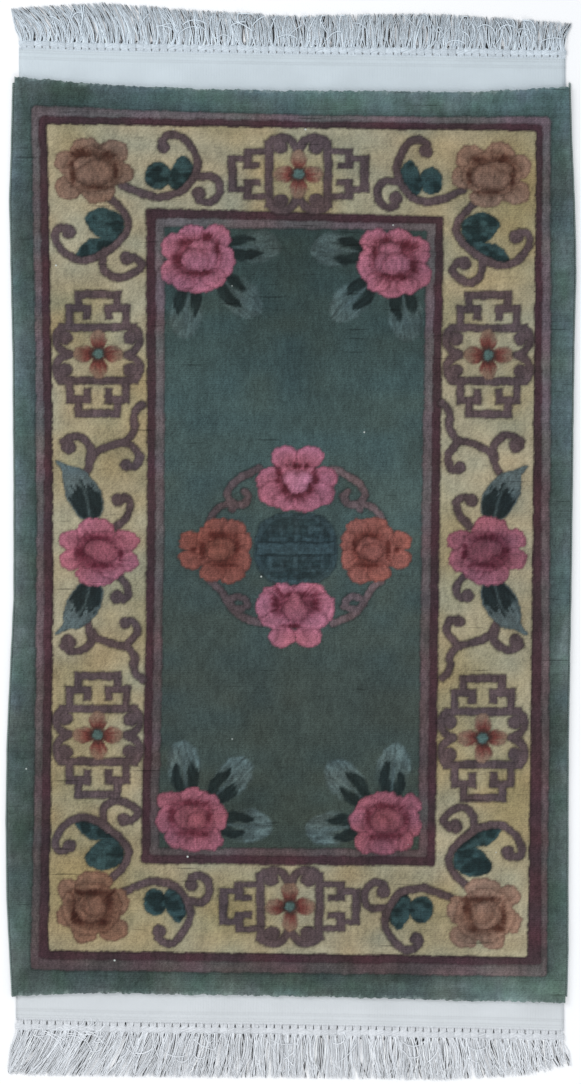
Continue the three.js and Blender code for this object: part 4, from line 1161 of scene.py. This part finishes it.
def build_fringe(name, end, material, seed):
    """Warp yarns gathered in knots beside the flat weave, and hanging loose from them."""
    rng = np.random.default_rng(seed)
    out, left, right = OUT[end], *WEAVE_SIDES[end]
    one_each = (FRINGE["bundles"], 1)
    pitch = (right - left) / FRINGE["bundles"]
    middle = left + (np.arange(FRINGE["bundles"])[:, None] + 0.5) * pitch
    middle += rng.uniform(-0.7, 0.7, one_each)
    edge = end_y(end, middle, WEAVE)
    knot_out, knot_half = KNOTS[end]
    knot_out = knot_out + rng.uniform(-0.9, 0.9, one_each)
    points, faces, tones = [], [], []

    def add(x, y, z, radii, tone, sides=4, flatten=1):
        x, y, z, radii, tone = np.broadcast_arrays(x, y, z, radii, tone)
        z = np.maximum(z, 0.1 + radii * flatten * 0.75)
        faces.append(tube_faces(*x.shape, sides) + sum(map(len, points)))
        points.append(tubes(np.stack([x, y, z], -1), radii, sides, flatten))
        tones.append(np.repeat(tone, sides))

    add(*loose_yarns(end, rng, middle, pitch, edge + out * (knot_out + knot_half - 2)))

    # Yarns from the weave into the knot
    share = np.linspace(0, 1, 4)
    many = FRINGE["gathered"]
    x0, edge0, reach = [np.repeat(column, many, 0) for column in (middle, edge, knot_out)]
    x = x0 + np.tile(slots(many), one_each) * pitch * (0.47, 0.44, 0.38, 0.36)
    y = edge0 + out * (reach * share - 3 * (1 - share))
    add(x, y, 2.5 - 0.2 * share, np.array([0.4, 0.8, 0.8, 0.8]), rng.normal(0.96, 0.03, x0.shape))

    # Knots: a core, and two turns of yarn over it
    share = np.linspace(-1, 1, 7)
    core = pitch * 0.62 * np.sqrt(np.maximum(1 - 0.75 * share**6, 0))
    y = edge + out * knot_out + share * knot_half
    add(middle, y, 2.2, core, rng.normal(0.95, 0.03, one_each), 8, 0.27)
    angle = np.linspace(-0.35, math.pi + 0.35, 9)
    radii = np.array([0.5, *[0.95] * 7, 0.5])
    for offset, tilt in ((-0.35, 0.5), (0.3, 0.4)):
        hand = rng.choice((-1, 1), one_each, p=(0.2, 0.8))
        x = middle + pitch * 0.47 * np.cos(angle)
        y = edge + out * (knot_out + offset * knot_half) + hand * tilt * 4.5 * np.cos(angle)
        add(x, y, 2.1 + 2 * np.sin(angle), radii, rng.normal(0.96, 0.03, one_each))

    # Short ends low in the gaps between the bundles, painted dark as shade in the gaps
    share = np.linspace(-1, 1, 4)
    gaps = edge[1:].shape
    for place in GAPS[end]:
        x = (middle[1:] + middle[:-1]) / 2 + rng.uniform(-0.8, 0.8, gaps) + 0.5 * share
        y = edge[1:] + out * (place + rng.uniform(-1, 1, gaps)) + share * rng.uniform(0.8, 2.6, gaps)
        add(x, y, 1.2, np.array([0.5, 1.2, 1.2, 0.5]), rng.uniform(0.1, 0.8, gaps))

    add(*stray_yarns(end, rng))
    # Painted shade: the upper fringe darker than the lower one
    tint = np.array(YARN_LIT_AND_SHADED[end]) * np.concatenate(tones)[:, None]
    return add_piece(name, np.vstack(points), np.vstack(faces), material, tint)


def build_stage():
    """A plain pale floor, soft daylight from above and the camera straight above the rug."""
    bpy.ops.mesh.primitive_plane_add(size=12, location=(0, 0, -0.0002))
    floor = bpy.context.object
    floor.name = "floor"
    paint = Shader("floor", 0.9, 0)
    paint.surface.inputs["Base Color"].default_value = (*linear(FLOOR_TINT), 1)
    floor.data.materials.append(paint.material)
    world = bpy.data.worlds.new("daylight")
    bpy.context.scene.world = world
    world.use_nodes = True
    sky = world.node_tree.nodes["Background"].inputs
    sky["Color"].default_value = (0.94, 0.97, 1, 1)
    sky["Strength"].default_value = DAYLIGHT
    for name, place, energy, size in LAMPS:
        light = bpy.data.lights.new(name, "AREA")
        light.energy, light.size = energy, size
        lamp = stand(name, light, place)
        lamp.rotation_mode = "QUATERNION"
        lamp.rotation_quaternion = (-lamp.location).to_track_quat("-Z", "Y")
    camera = bpy.data.cameras.new("camera")
    camera.sensor_width = 36
    pixel = PHOTO["mm"] * MM
    camera.lens = camera.sensor_width * (CAMERA_HIGH - SEEN_AT * MM) / (PHOTO["high"] * pixel)
    x = (PHOTO["wide"] / 2 - PHOTO["middle_x"]) * pixel + SHIFT[0]
    y = (PHOTO["middle_y"] - PHOTO["high"] / 2) * pixel + SHIFT[1]
    bpy.context.scene.camera = stand("camera", camera, (x, y, CAMERA_HIGH))
    bpy.context.scene.view_settings.view_transform = "Standard"
    return floor


floor = build_stage()
border_edge, field_edge = paint_pile()
weather()
pile = build_pile(pile_wool(), border_edge, field_edge)
ground = build_ground(woven_cotton())
wool = yarn("edge_wool", (700, 700, 700), 0.88, 1.1)
cords = [build_cord("overcast_left", 1, 1, wool), build_cord("overcast_right", 2, -1, wool)]
cotton = yarn("fringe_cotton", (900, 500, 900), 0.93, 1.05)
fringes = [
    build_fringe("fringe_yarns_upper", "upper", cotton, 51),
    build_fringe("fringe_yarns_lower", "lower", cotton, 52),
]

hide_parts("rug_cloth")
for piece, node, slot in (
    (cords[0], "edge_cord_left", "edge_wool"),
    (cords[1], "edge_cord_right", "edge_wool"),
    (fringes[0], "fringe_upper", "fringe_cotton"),
    (fringes[1], "fringe_lower", "fringe_cotton"),
):
    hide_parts(node)
